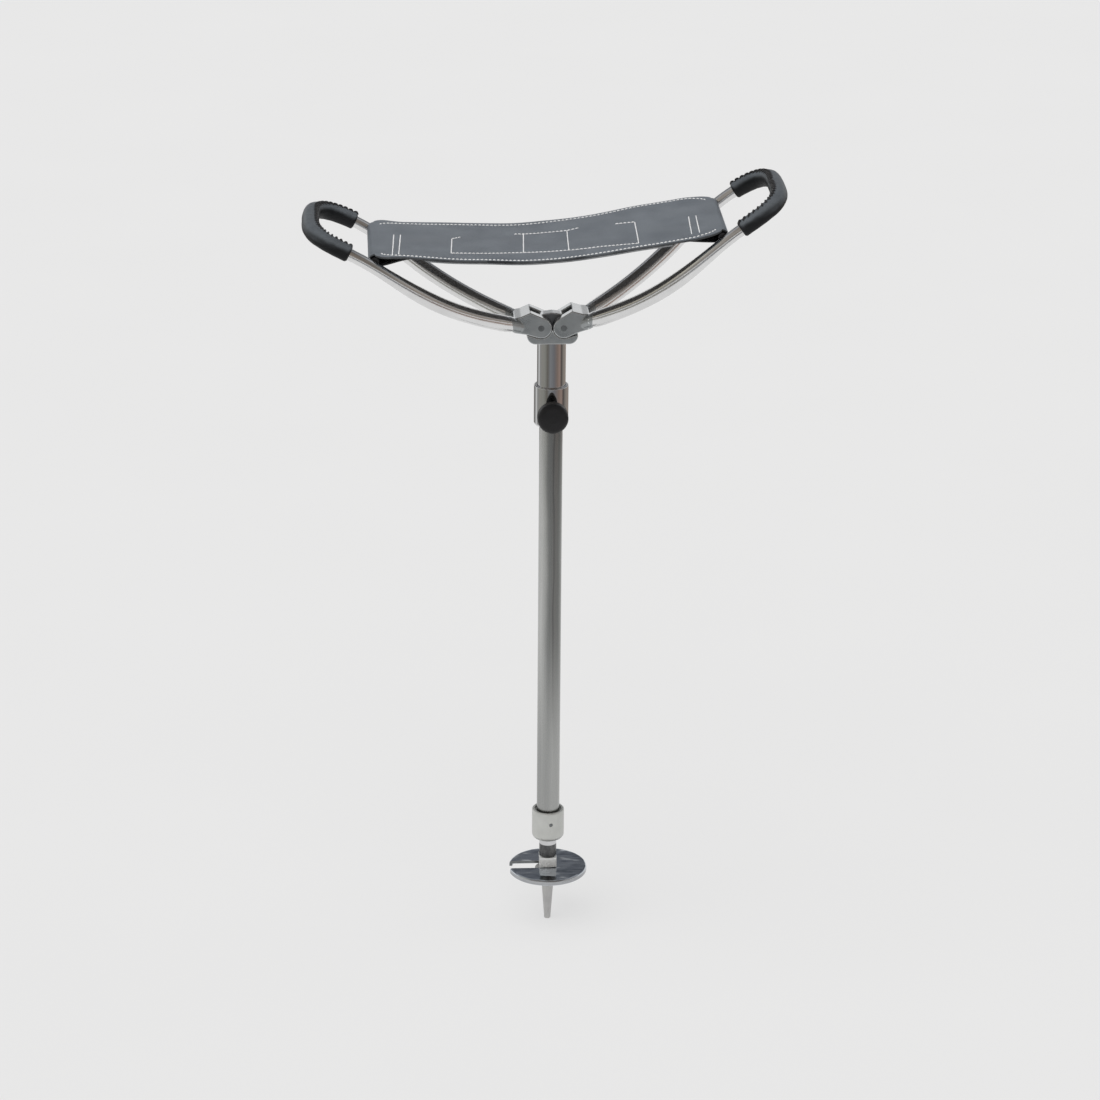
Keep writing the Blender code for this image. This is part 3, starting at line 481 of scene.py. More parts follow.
# Finishes
ALONG_Z = (1500.0, 1500.0, 9.0)
ROUND_Z = (40.0, 40.0, 2400.0)
TUBE_PAINTED_REFLECTIONS = [                        # painted reflections: turn from 0 at -X over the front and +X, with a tone
    (0.00, (0.44, 0.445, 0.435)),
    (0.119, (0.58, 0.585, 0.575)),
    (0.174, (0.43, 0.435, 0.425)),
    (0.216, (0.23, 0.235, 0.23)),
    (0.250, (0.18, 0.185, 0.18)),
    (0.274, (0.185, 0.185, 0.18)),
    (0.292, (0.095, 0.095, 0.095)),
    (0.311, (0.17, 0.17, 0.165)),
    (0.375, (0.17, 0.175, 0.17)),
    (0.440, (0.30, 0.305, 0.295)),
    (0.53, (0.34, 0.345, 0.335)),
    (0.62, (0.22, 0.22, 0.215)),
    (0.72, (0.33, 0.335, 0.325)),
    (0.80, (0.18, 0.18, 0.175)),
    (0.90, (0.32, 0.325, 0.315)),
    (1.00, (0.44, 0.445, 0.435)),
]
CHROME = metal("chrome", (0.58, 0.58, 0.59), (0.70, 0.70, 0.71), (0.03, 0.08), ALONG_Z, 0.02,
               (60.0, 60.0, 4.0))
PLATE_CHROME = metal("plate_chrome", (0.52, 0.56, 0.61), (0.70, 0.74, 0.79), (0.05, 0.13), (24.0, 44.0, 26.0),
                     1.0, (30.0, 90.0, 40.0), wave=2.6 * MM, detail=1.6)
# Dark metal for the neck below its chrome end: painted shade under the ferrule.
NECK_PAINTED_SHADE = metal("neck_painted_shade", (0.05, 0.05, 0.052), (0.17, 0.17, 0.172), (0.16, 0.34), ROUND_Z, 0.10,
                   (160.0, 160.0, 90.0))
RIM_STEEL = metal("rim_steel", (0.36, 0.37, 0.385), (0.50, 0.51, 0.525), (0.14, 0.30), ROUND_Z, 0.06,
                  (60.0, 60.0, 300.0))
TUBE_ALUMINIUM = drawn_metal("tube_aluminium", (0.33, 0.335, 0.33), (0.45, 0.455, 0.445), TUBE_PAINTED_REFLECTIONS,
                             (0.17, 0.35), (0.20, 0.32), ALONG_Z)
FERRULE_METAL = cast_metal("ferrule_metal", (0.50, 0.51, 0.49), (0.60, 0.61, 0.59), (0.32, 0.46), 700.0, 0.06,
                           0.6)
HUB_METAL = cast_metal("hub_metal", (0.52, 0.53, 0.53), (0.90, 0.91, 0.90), (0.18, 0.34), 420.0, 0.35, 0.30)
SPIKE_METAL = metal("spike_metal", (0.48, 0.48, 0.48), (0.58, 0.58, 0.57), (0.42, 0.58), (900.0, 900.0, 40.0),
                    0.08, 60.0, 0.6)
# The head and the knuckles: upward faces and sharp edges get the lighter tone, painted top light and
# highlights, with edge rubbing.
HEAD_METAL = cast_metal("head_metal", (0.31, 0.328, 0.333), (0.39, 0.408, 0.414), (0.24, 0.38), 800.0, 0.07,
                        0.85, (0.74, 0.76, 0.77))
# The tongue is the same casting made much darker: painted shade in its recess between the knuckles; its upper
# faces still get the painted top light.
TONGUE_PAINTED_SHADE = cast_metal("tongue_painted_shade", (0.10, 0.105, 0.11), (0.16, 0.165, 0.17), (0.24, 0.38), 800.0, 0.07,
                          0.85, (0.78, 0.80, 0.81))
ARM_METAL = metal("arm_metal", (0.72, 0.72, 0.72), (0.82, 0.82, 0.82), (0.15, 0.25), 90.0, 0.04, 30.0)
PIN_METAL = metal("pin_metal", (0.17, 0.18, 0.185), (0.23, 0.24, 0.245), (0.28, 0.42), ROUND_Z, 0.05, 200.0)
# Near-black steel for the sling bars, so that their ends read as the shade beside the folds: painted shade.
BAR_PAINTED_SHADE = metal("bar_painted_shade", (0.05, 0.05, 0.055), (0.09, 0.09, 0.095), (0.36, 0.50), ROUND_Z, 0.05, 200.0)
BRASS = metal("pad_brass", (0.62, 0.47, 0.22), (0.74, 0.58, 0.28), (0.25, 0.40), 300.0, 0.04, 120.0)
KNOB_PLASTIC = plastic("knob_plastic", (0.006, 0.006, 0.007), (0.011, 0.011, 0.012), (0.38, 0.52), 0.32)
PLUG_PLASTIC = plastic("plug_plastic", (0.17, 0.17, 0.18), (0.23, 0.23, 0.24), (0.45, 0.60))
SEAT_LEATHER = leather("seat_leather", (0.120, 0.137, 0.158), (0.166, 0.186, 0.209), (0.44, 0.58), 1.1 * MM,
                       0.22, 0.4)
EDGE_DYE = leather("edge_dye", (0.020, 0.022, 0.025), (0.085, 0.092, 0.10), (0.40, 0.60), 2.5 * MM, 0.20, 0.4)
RAW_EDGE = leather("raw_edge", (0.20, 0.17, 0.135), (0.36, 0.31, 0.25), (0.70, 0.85), 1.0 * MM, 0.35, 0.2)
# The flap is the same leather as the top, made near black: painted shade under the seat's ends.
FLAP_PAINTED_SHADE = leather("flap_painted_shade", (0.014, 0.015, 0.017), (0.030, 0.032, 0.036), (0.42, 0.58), 1.1 * MM,
                       0.22, 0.4)
SEAT_LINING = leather("seat_lining", (0.042, 0.040, 0.039), (0.068, 0.066, 0.064), (0.60, 0.78), 1.6 * MM,
                      0.25, 0.3)
LINING_EDGE = leather("lining_edge", (0.15, 0.16, 0.17), (0.27, 0.28, 0.29), (0.60, 0.78), 1.2 * MM,
                      0.25, 0.3)
# Black leather whose upward faces turn grey: painted top light, with rubbing.
GRIP_LEATHER = leather("grip_leather", (0.006, 0.007, 0.008), (0.011, 0.012, 0.014), (0.42, 0.56), 1.3 * MM,
                       0.30, 0.22, (0.108, 0.121, 0.135))
WHITE_THREAD = thread("white_thread", (0.74, 0.75, 0.76), (0.92, 0.92, 0.92), (0.6, 0.8))
BLACK_LACE = thread("black_lace", (0.010, 0.010, 0.011), (0.024, 0.024, 0.026), (0.4, 0.6))


# Steps and curves
def ease(t):
    """Smooth step from 0 to 1."""
    t = min(max(t, 0.0), 1.0)
    return t * t * (3.0 - 2.0 * t)


def ease_out(t, power):
    """From 0 to 1, slowing towards the end."""
    return 1.0 - (1.0 - t) ** power


def part_way(start, end, share):
    """The number at a share of the way between two."""
    return start + (end - start) * share


def point_between(start, end, share):
    """The point at a share of the way between two."""
    return tuple(part_way(a, b, share) for a, b in zip(start, end))


def evenly(start, end, steps):
    """Numbers in even steps between two, with both of them."""
    return [start + (end - start) * k / steps for k in range(steps + 1)]


def ring_angles(sides, shift=0.0):
    """Even angles round a circle."""
    return [2 * math.pi * (k + shift) / sides for k in range(sides)]


def at_angle(angle, first, second):
    """The direction at an angle from one direction to another."""
    return math.cos(angle) * first + math.sin(angle) * second


def arc(centre, radius, start, end, steps):
    """Points of an arc in a plane."""
    angles = evenly(start, end, steps)
    return [(centre[0] + radius * math.cos(a), centre[1] + radius * math.sin(a)) for a in angles]


def square_reach(radius, angle, power):
    """Distance from the middle of a squarish round to its edge; power 2 is round, more is squarer."""
    return radius / (abs(math.cos(angle)) ** power + abs(math.sin(angle)) ** power) ** (1 / power)


# Meshes
def finish_mesh(name, bm, sharp=40.0):
    """Close a bmesh into a smooth mesh whose edges above an angle stay sharp."""
    bmesh.ops.recalc_face_normals(bm, faces=bm.faces)
    mesh = bpy.data.meshes.new(name)
    bm.to_mesh(mesh)
    bm.free()
    mesh.shade_smooth()
    mesh.set_sharp_from_angle(angle=math.radians(sharp))
    return mesh


def add_object(name, data):
    """An object in the scene."""
    made = bpy.data.objects.new(name, data)
    bpy.context.scene.collection.objects.link(made)
    return made


def add_piece(name, bm, finish, body, nodes=(), sharp=40.0):
    """A visible piece on a body, which stands for some nodes of the frame."""
    mesh = finish_mesh(name, bm, sharp)
    for one in finish if isinstance(finish, list) else [finish]:
        mesh.materials.append(one)
    made = add_object(name, mesh)
    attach(made, body)
    if nodes:
        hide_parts(*nodes)
    return made


def worked(made, *tools):
    """The bmesh of an object after its modifiers; the object and the tools it used are removed."""
    shown = made.evaluated_get(bpy.context.evaluated_depsgraph_get())
    result = bmesh.new()
    result.from_mesh(shown.to_mesh())
    shown.to_mesh_clear()
    for work in (made, *tools):
        mesh = work.data
        bpy.data.objects.remove(work)
        bpy.data.meshes.remove(mesh)
    return result


def cut(bm, *cutters):
    """The bmesh with other closed bmeshes cut out of it."""
    made = add_object("cut_work", finish_mesh("cut_work", bm))
    tools = [add_object("cut_tool", finish_mesh("cut_tool", cutter)) for cutter in cutters]
    for tool in tools:
        step = made.modifiers.new("cut", "BOOLEAN")
        step.operation = "DIFFERENCE"
        step.solver = "EXACT"
        step.object = tool
    return worked(made, *tools)


def cast(parts, passes):
    """Several overlapping closed bmeshes run together like one casting, with small fillets."""
    whole = bmesh.new()
    for part in parts:
        mesh = finish_mesh("cast_part", part)
        whole.from_mesh(mesh)
        bpy.data.meshes.remove(mesh)
    made = add_object("cast_work", finish_mesh("cast_work", whole))
    grid = made.modifiers.new("grid", "REMESH")
    grid.mode = "VOXEL"
    grid.voxel_size = CAST_VOXEL
    fair = made.modifiers.new("fair", "SMOOTH")
    fair.factor = 0.5
    fair.iterations = passes
    return worked(made)


def soften(bm, width, angle, segments=2):
    """Round the edges that are sharper than an angle."""
    bmesh.ops.remove_doubles(bm, verts=bm.verts, dist=0.01 * MM)
    bmesh.ops.dissolve_limit(bm, angle_limit=math.radians(1.0), verts=bm.verts, edges=bm.edges)
    edges = [e for e in bm.edges if len(e.link_faces) == 2 and e.calc_face_angle(0.0) > math.radians(angle)]
    bmesh.ops.bevel(bm, geom=edges, offset=width, segments=segments, profile=0.5, affect="EDGES",
                    clamp_overlap=True)
    return bm


def rounded(points, steps=6):
    """A closed outline whose corners (x, y, radius) become arcs; a corner without a radius stays."""
    made = []
    for i, (x, y, *given) in enumerate(points):
        p = Vector((x, y))
        if not given:
            made.append((p.x, p.y))
            continue
        before = Vector(points[i - 1][:2]) - p
        after = Vector(points[(i + 1) % len(points)][:2]) - p
        half = before.angle(after) / 2
        reach = min(given[0] / math.tan(half), 0.48 * before.length, 0.48 * after.length)
        radius = reach * math.tan(half)
        middle = (before.normalized() + after.normalized()).normalized()
        centre = p + middle * radius / math.sin(half)
        first = p + before.normalized() * reach - centre
        turn = first.angle_signed(p + after.normalized() * reach - centre)
        for k in range(steps + 1):
            arm = first.copy()
            arm.rotate(Matrix.Rotation(-turn * k / steps, 2))
            made.append(tuple(centre + arm))
    return made


def skin(rings, closed_run=False, paint=None, late=None, bm=None):
    """Faces over a run of equal closed rings; paint is each side's finish, late that from a run on."""
    bm = bmesh.new() if bm is None else bm
    made = [[bm.verts.new(p) for p in ring] for ring in rings]
    count = len(made[0])
    runs = list(zip(made, made[1:])) + ([(made[-1], made[0])] if closed_run else [])
    for i, (low, high) in enumerate(runs):
        for k in range(count):
            after = (k + 1) % count
            face = bm.faces.new((low[k], low[after], high[after], high[k]))
            if paint:
                face.material_index = late[1] if late and i >= late[0] else paint[k]
    if not closed_run:
        bm.faces.new(list(reversed(made[0])))
        bm.faces.new(made[-1])
    return bm


def held(profile, near=0.3 * MM):
    """The outline with corners close to the ends of its long sides, which keep their shading even."""
    made = []
    for a, b in zip(profile, profile[1:] + profile[:1]):
        made.append(a)
        run = math.dist(a, b)
        if run > 8 * near:
            made += [point_between(a, b, t) for t in (near / run, 1.0 - near / run)]
    return made


def turned(profile, sides=TURN_SIDES, axis="Z"):
    """Turn a closed outline of (radius, height) corners round an axis."""
    bm = bmesh.new()
    rings = []
    for radius, height in held(profile):
        angles = ring_angles(sides) if radius > 1e-7 else [0.0]
        rings.append([bm.verts.new((radius * math.cos(a), radius * math.sin(a), height)) for a in angles])
    for low, high in zip(rings, rings[1:] + rings[:1]):
        for k in range(sides):
            after = (k + 1) % sides
            corners = [low[k % len(low)], low[after % len(low)], high[after % len(high)], high[k % len(high)]]
            corners = list(dict.fromkeys(corners))
            if len(corners) > 2:
                bm.faces.new(corners)
    if axis == "-Y":
        bmesh.ops.rotate(bm, verts=bm.verts, matrix=Matrix.Rotation(math.pi / 2, 3, "X"))
    return bm


def rod(radius, start, end, sides=SMALL_SIDES, axis="Z", edge=None):
    """A round bar between two heights, perhaps with rounded ends."""
    rim = (edge,) if edge else ()
    corners = [(0.0, start), (radius, start, *rim), (radius, end, *rim), (0.0, end)]
    return turned(rounded(corners, 4), sides, axis)


def moved(bm, x, z):
    """The bmesh shifted along X and Z."""
    bmesh.ops.translate(bm, verts=bm.verts, vec=(x, 0.0, z))
    return bm


def box(low, high):
    """A block between two corners."""
    bm = bmesh.new()
    bmesh.ops.create_cube(bm, size=1.0)
    for v in bm.verts:
        v.co = Vector(part_way(lo, hi, c + 0.5) for c, lo, hi in zip(v.co, low, high))
    return bm


def slab(outline, half_depth, place, edge):
    """Extrude an outline (u, v) along Y to both sides, with rounded rims; place takes (u, y, v)."""
    count = len(outline)
    area = sum(a[0] * b[1] - b[0] * a[1] for a, b in zip(outline, outline[1:] + outline[:1]))
    inward = []
    for i in range(count):
        along = Vector(outline[(i + 1) % count]) - Vector(outline[i - 1])
        along.normalize()
        inward.append((-along.y, along.x) if area > 0 else (along.y, -along.x))
    rings = []
    for depth, inset in rim_steps(half_depth, edge):
        rings.append([place(u + inset * n[0], depth, v + inset * n[1]) for (u, v), n in zip(outline, inward)])
    return skin(rings)


def rim_steps(half_depth, edge, steps=3):
    """(depth, inset) pairs of a slab's rounded rims, from the front to the back."""
    turns = evenly(0.0, math.pi / 2, steps)
    front = [(-half_depth + edge * (1.0 - math.cos(a)), edge * (1.0 - math.sin(a))) for a in turns]
    return front + [(-depth, inset) for depth, inset in reversed(front)]


# Foot
add_piece("spike_turned", turned(rounded([
    (0.0, FERRULE_Z),
    (STUD_R, FERRULE_Z),
    (STUD_R, FLANGE_Z),
    (FLANGE_R, FLANGE_Z, 0.5 * MM),
    (FLANGE_R, SPIKE_LENGTH, 0.5 * MM),
    (SPIKE_TOP_R, SPIKE_LENGTH),
    (SPIKE_TIP_R, 0.0, 0.6 * MM),
    (0.0, 0.0),
], 4)), SPIKE_METAL, "lower_stick", ["spike"])

plate = turned(rounded([
    (0.0, PLATE_TOP),
    (PLATE_R - PLATE_RIM, PLATE_TOP),
    (PLATE_R, PLATE_TOP, PLATE_EDGE_R),
    (PLATE_R, PLATE_FOOT, 0.5 * MM),
    (PLATE_R - PLATE_SHEET, PLATE_FOOT, 0.5 * MM),
    (PLATE_R - PLATE_SHEET, PLATE_Z, 0.8 * MM),
    (0.0, PLATE_Z),
], 8), 160)
slot_line = arc((0.0, 0.0), SLOT_W / 2, -math.pi / 2, math.pi / 2, 28)
slot_line += [(-2 * PLATE_R, SLOT_W / 2), (-2 * PLATE_R, -SLOT_W / 2)]
slot_levels = (PLATE_FOOT - PLATE_SHEET, PLATE_TOP + PLATE_SHEET)
slot_tool = skin([[(x, y, z) for x, y in slot_line] for z in slot_levels])
plate = soften(cut(plate, slot_tool), 0.35 * MM, 50.0)
# Painted shade: the slot's side walls get the dark pin metal; the plate's other upright faces get the rim
# steel.
for face in plate.faces:
    face.normal_update()
    inside = abs(face.calc_center_median().y) < SLOT_W / 2 + GAP
    upright = abs(face.normal.z) < 0.1
    face.material_index = (1 if inside and abs(face.normal.y) > 0.5 else 2) if upright else 0
add_piece("plate_pressed", plate, [PLATE_CHROME, PIN_METAL, RIM_STEEL], "lower_stick",
          ["ground_plate"], 15.0)

hub_half = HUB_SIDE / 2
hub = soften(box((-hub_half, -hub_half, HUB_Z), (hub_half, hub_half, HUB_Z + HUB_H)), 1.0 * MM, 30.0, 4)
add_piece("hub_block", cut(hub, rod(STUD_R + GAP, SPIKE_LENGTH, FERRULE_Z)), HUB_METAL,
          "lower_stick", ["foot_hub"], 15.0)
add_piece("hub_register", turned(rounded([
    (STUD_R + GAP, FLANGE_Z + GAP),
    (SLOT_W / 2 - GAP, FLANGE_Z + GAP),
    (SLOT_W / 2 - GAP, HUB_Z),
    (STUD_R + GAP, HUB_Z),
])), HUB_METAL, "lower_stick")

FERRULE_BORE_R = TUBE_R + GAP
ferrule = turned(rounded([
    (MOUTH_R, FERRULE_TOP, 0.7 * MM),
    (FERRULE_R, FERRULE_TOP, 1.2 * MM),
    (FERRULE_R, FERRULE_Z, FERRULE_FOOT_R),
    (STUD_R + GAP, FERRULE_Z),
    (STUD_R + GAP, FERRULE_Z + FERRULE_FLOOR),
    (FERRULE_BORE_R, FERRULE_Z + FERRULE_FLOOR),
    (FERRULE_BORE_R, FERRULE_TOP - MOUTH_DEPTH),
    (MOUTH_R, FERRULE_TOP - MOUTH_DEPTH),
], 8))
pin_hole = rod(FERRULE_HOLE_R, TUBE_R, 2 * FERRULE_R, SMALL_SIDES, "-Y")
bmesh.ops.rotate(pin_hole, verts=pin_hole.verts, matrix=Matrix.Rotation(FERRULE_PIN_TURN, 3, "Z"))
add_piece("ferrule_turned", cut(ferrule, moved(pin_hole, 0.0, FERRULE_Z + FERRULE_PIN_Z)), FERRULE_METAL,
          "lower_stick", ["ferrule"])

neck = turned(rounded([
    (STUD_R + GAP, FERRULE_Z + FERRULE_FLOOR / 2),
    (NECK_R, FERRULE_Z + FERRULE_FLOOR / 2),
    (NECK_R, FERRULE_Z + NECK_LAP),
    (NECK_R + NECK_BEAD[0], FERRULE_Z, 0.2 * MM),
    (NECK_R, FERRULE_Z - NECK_BEAD[1], 1.2 * MM),
    (NECK_R, FERRULE_Z - NECK_BRIGHT),
    (NECK_R, NECK_Z, 0.7 * MM),
    (STUD_R + GAP, NECK_Z),
], 5))
# Below its chrome upper end the neck gets the dark metal: painted shade.
for face in neck.faces:
    face.material_index = 1 if face.calc_center_median().z < FERRULE_Z - NECK_BRIGHT else 0
add_piece("neck_plated", neck, [CHROME, NECK_PAINTED_SHADE], "lower_stick")

# Tubes, collar and clamp
add_piece("tube_drawn", turned(rounded([
    (TUBE_R, TUBE_TOP, 0.4 * MM),
    (TUBE_R, TUBE_Z),
    (TUBE_R - TUBE_WALL, TUBE_Z),
    (TUBE_R - TUBE_WALL, TUBE_TOP),
])), TUBE_ALUMINIUM, "lower_stick", ["lower_tube"])

add_piece("upper_tube_plated", turned([
    (UPPER_R, HEAD_Z - GAP),
    (UPPER_R, STEP_Z + GAP),
    (UPPER_R - UPPER_WALL, STEP_Z + GAP),
    (UPPER_R - UPPER_WALL, HEAD_Z - GAP),
]), CHROME, "head", ["upper_tube"])

collar = turned(rounded([
    (UPPER_R + GAP, COLLAR_TOP, 0.3 * MM),
    (COLLAR_R, COLLAR_TOP, 0.8 * MM),
    (COLLAR_R, COLLAR_Z, COLLAR_FOOT_R),
    (TUBE_R + GAP, COLLAR_Z, 0.4 * MM),
    (TUBE_R + GAP, STEP_Z),
    (UPPER_R + GAP, STEP_Z),
], 6))
SCREW_LEVEL = COLLAR_Z + SCREW_Z
screw_hole = moved(rod(SCREW_R + GAP, TUBE_R / 2, 2 * COLLAR_R, SMALL_SIDES, "-Y"), 0.0, SCREW_LEVEL)
add_piece("collar_plated", cut(collar, screw_hole), CHROME, "head", ["clamp_collar"])

screw_start = TUBE_R + SCREW_TIP
screw_end = KNOB_FACE - KNOB_WALL
screw = rod(SCREW_R, screw_start, screw_end, SMALL_SIDES, "-Y", 0.4 * MM)
add_piece("screw_turned", moved(screw, 0.0, SCREW_LEVEL), PIN_METAL, "clamp_knob",
          ["clamp_screw"])
knob_shoulder = KNOB_FACE - KNOB_HEAD_T
flat_r, dome_h, dome_r = KNOB_DOME
knob = turned(rounded([
    (SCREW_R + GAP, COLLAR_R + KNOB_STANDOFF),
    (KNOB_NECK_R, COLLAR_R + KNOB_STANDOFF, 0.8 * MM),
    (KNOB_NECK_R, knob_shoulder, 1.2 * MM),
    (KNOB_R, knob_shoulder, KNOB_BACK_R),
    (KNOB_R, KNOB_FACE - dome_h, KNOB_RIM_R),
    (flat_r, KNOB_FACE, dome_r),
    (0.0, KNOB_FACE),
    (0.0, screw_end + GAP),
    (SCREW_R + GAP, screw_end + GAP),
], 10), axis="-Y")
add_piece("knob_moulded", moved(knob, 0.0, SCREW_LEVEL), KNOB_PLASTIC, "clamp_knob",
          ["clamp_knob"])


# Head casting, with x and z from the middle of the two hinge pins
def in_head(x, y, z):
    """A point of the head casting in the row frame."""
    return Vector((x, y, HINGE_Z + z))


def tangent(point, radius, side):
    """Angle of the point on a circle round (0, 0) whose tangent passes through a point outside it."""
    return math.atan2(point[1], point[0]) + side * math.acos(radius / math.hypot(point[0], point[1]))


lug_clear = LUG_R + LUG_GAP
rim = tangent((YOKE_STOP[0], YOKE_STOP[1] - LUG_GAP), lug_clear, -1.0)
cusp = math.pi + math.asin(CUSP_DROP / lug_clear)
stop_rise = (YOKE_FOOT[1] - YOKE_STOP[1]) / (YOKE_FOOT[0] - YOKE_STOP[0])
shoulder_u = HEAD_HALF_W - PIN_X
shoulder_v = YOKE_STOP[1] - LUG_GAP + max(0.0, shoulder_u - YOKE_STOP[0]) * stop_rise
half_line = arc((PIN_X, 0.0), lug_clear, cusp, rim + 2 * math.pi, 30) + [(HEAD_HALF_W, shoulder_v)]
half_line += arc((HEAD_HALF_W - HEAD_CORNER_R, HEAD_CORNER_R - PIN_Z), HEAD_CORNER_R, 0.0, -math.pi / 2, 14)
base_line = [(-x, z) for x, z in reversed(half_line)] + half_line
head_base = cast([slab(base_line, HEAD_HALF_DEPTH, in_head, HEAD_EDGE)], HEAD_PASSES)
add_piece("head_base", head_base, HEAD_METAL, "head", ["hinge_head"], 60.0)

saddle_turn = tangent((SADDLE_HALF - PIN_X, SADDLE_Z), TONGUE_R, -1.0)
tongue_half = [(0.0, SADDLE_Z + SADDLE_PEAK), (SADDLE_HALF, SADDLE_Z)]
tongue_half += arc((PIN_X, 0.0), TONGUE_R, saddle_turn, -math.pi / 2, 20)
tongue_half.append((PIN_X, (HEAD_CORNER_R - PIN_Z - TONGUE_R) / 2))
tongue_line = tongue_half + [(-x, z) for x, z in reversed(tongue_half[1:])]
head_tongue = cast([slab(tongue_line, TONGUE_HALF, in_head, HEAD_EDGE)], HEAD_PASSES)
add_piece("head_tongue", head_tongue, TONGUE_PAINTED_SHADE, "head", (), 60.0)
spigot = rod(UPPER_R - UPPER_WALL - GAP, -SPIGOT_L, SPIGOT_LAP, TURN_SIDES)
add_piece("head_spigot", moved(spigot, 0.0, HEAD_Z), HEAD_METAL, "head")

pin_end = HEAD_HALF_DEPTH + PIN_PROUD
for side, sign, lift, seam in ARMS:
    pin = turned(rounded([
        (0.0, -pin_end + PEEN_DEPTH[0]),
        (PEEN_R[0], -pin_end + PEEN_DEPTH[1], 0.4 * MM),
        (PEEN_R[1], -pin_end, 0.4 * MM),
        (PIN_R, -pin_end, 0.25 * MM),
        (PIN_R, pin_end, 0.5 * MM),
        (0.0, pin_end),
    ], 4), SMALL_SIDES, "-Y")
    add_piece(side + "_pin_peened", moved(pin, sign * PIN_X, HINGE_Z), PIN_METAL, "head",
              [side + "_hinge_pin"])


# Arms
def arm_place(sign, lift):
    """A function that puts (u, y, v) of an arm's own frame into the row frame."""
    def place(u, y, v):
        out = u * math.cos(lift) - v * math.sin(lift)
        rise = u * math.sin(lift) + v * math.cos(lift)
        return Vector((sign * (PIN_X + out), y, HINGE_Z + rise))
    return place


def slope(s):
    """Slope of the arm's middle line."""
    if s < SLOPE_MID_AT:
        return part_way(SLOPE_ROOT, SLOPE_MID, ease((s - SLOPE_FROM) / (SLOPE_MID_AT - SLOPE_FROM)))
    return part_way(SLOPE_MID, SLOPE_TIP, ease((s - SLOPE_MID_AT) / (LOOP_END - SLOPE_MID_AT)))


def middle_line(s, steps=120):
    """Place (u, v) and slope of the arm's middle line at length s."""
    u, v = ROD_START, ROD_START_V
    width = (s - ROD_START) / steps
    for k in range(steps):
        angle = slope(ROD_START + (k + 0.5) * width)
        u += width * math.cos(angle)
        v += width * math.sin(angle)
    return u, v, slope(s)


def rod_half(s):
    """Half distance between the two rods."""
    t = min((s - ROD_START) / (LOOP_AT - ROD_START), 1.0)
    return part_way(ROD_START_HALF, LOOP_HALF, math.sin(math.pi / 2 * t ** FLARE))


def rod_radius(s):
    """The rod swells out of the knuckle and tapers to the loop."""
    swell = part_way(ROD_START_R, ROD_R, ease((s - ROD_START) / (ROD_FULL_AT - ROD_START)))
    return swell + (LOOP_R - ROD_R) * ease((s - ROD_TAPER_AT) / (LOOP_AT - ROD_TAPER_AT))


def loop_point(turn):
    """(length, side distance) at a turn from 0 on the front leg to half a circle on the back leg."""
    along = (LOOP_END - LOOP_AT) * abs(math.sin(turn)) ** (2 / LOOP_SQUARE)
    aside = LOOP_HALF * abs(math.cos(turn)) ** (2 / LOOP_SQUARE)
    return LOOP_AT + along, math.copysign(aside, -math.cos(turn))


def loop_turn(s):
    """The turn at which the front half of the loop reaches a length."""
    return math.asin(((s - LOOP_AT) / (LOOP_END - LOOP_AT)) ** (LOOP_SQUARE / 2))


def even_turns(start, end, steps, fine=900):
    """Turns between two turns that are evenly spaced along the loop."""
    turns = evenly(start, end, fine)
    run = [0.0]
    for a, b in zip(turns, turns[1:]):
        run.append(run[-1] + math.dist(loop_point(a), loop_point(b)))
    picked = []
    at = 0
    for k in range(steps + 1):
        while at < fine and run[at] < run[-1] * k / steps - 1e-12:
            at += 1
        picked.append(turns[at])
    return picked


def route(stations):
    """Points, run, outward and upward directions of a rod through (length, side distance) stations."""
    lines = [middle_line(s) for s, y in stations]
    points = [Vector((u, y, v)) for (u, v, a), (s, y) in zip(lines, stations)]
    frames = []
    for i, (u, v, angle) in enumerate(lines):
        along = (points[min(i + 1, len(points) - 1)] - points[max(i - 1, 0)]).normalized()
        up = Vector((-math.sin(angle), 0.0, math.cos(angle)))
        outward = along.cross(up).normalized()
        frames.append((points[i], along, outward, outward.cross(along)))
    return frames


def frame_at(frames, share):
    """Place and directions at a share of a route."""
    at = min(max(share, 0.0), 1.0) * (len(frames) - 1)
    k = min(int(at), len(frames) - 2)
    t = at - k
    return [a.lerp(b, t) for a, b in zip(frames[k], frames[k + 1])]


def leg_stations(steps):
    """(length, side distance) on the front leg, up to the loop."""
    return [(s, -rod_half(s)) for s in evenly(ROD_START, LOOP_AT, steps)[:-1]]


def rod_reach(s, a):
    """Distance from the rod's middle to its skin: squarish at the knuckle, round further on."""
    power = part_way(ROOT_SQUARE, 2.0, ease((s - ROOT_AT) / (ROOT_ROUND_AT - ROOT_AT)))
    return square_reach(rod_radius(s), a, power)


def rod_rings(stations, place):
    """Sections of the bare rod."""
    rings = []
    for (s, y), (p, along, outward, up) in zip(stations, route(stations)):
        angles = ring_angles(ROD_SIDES, 0.5)
        rings.append([place(*(p + rod_reach(s, a) * at_angle(a, outward, up))) for a in angles])
    return rings


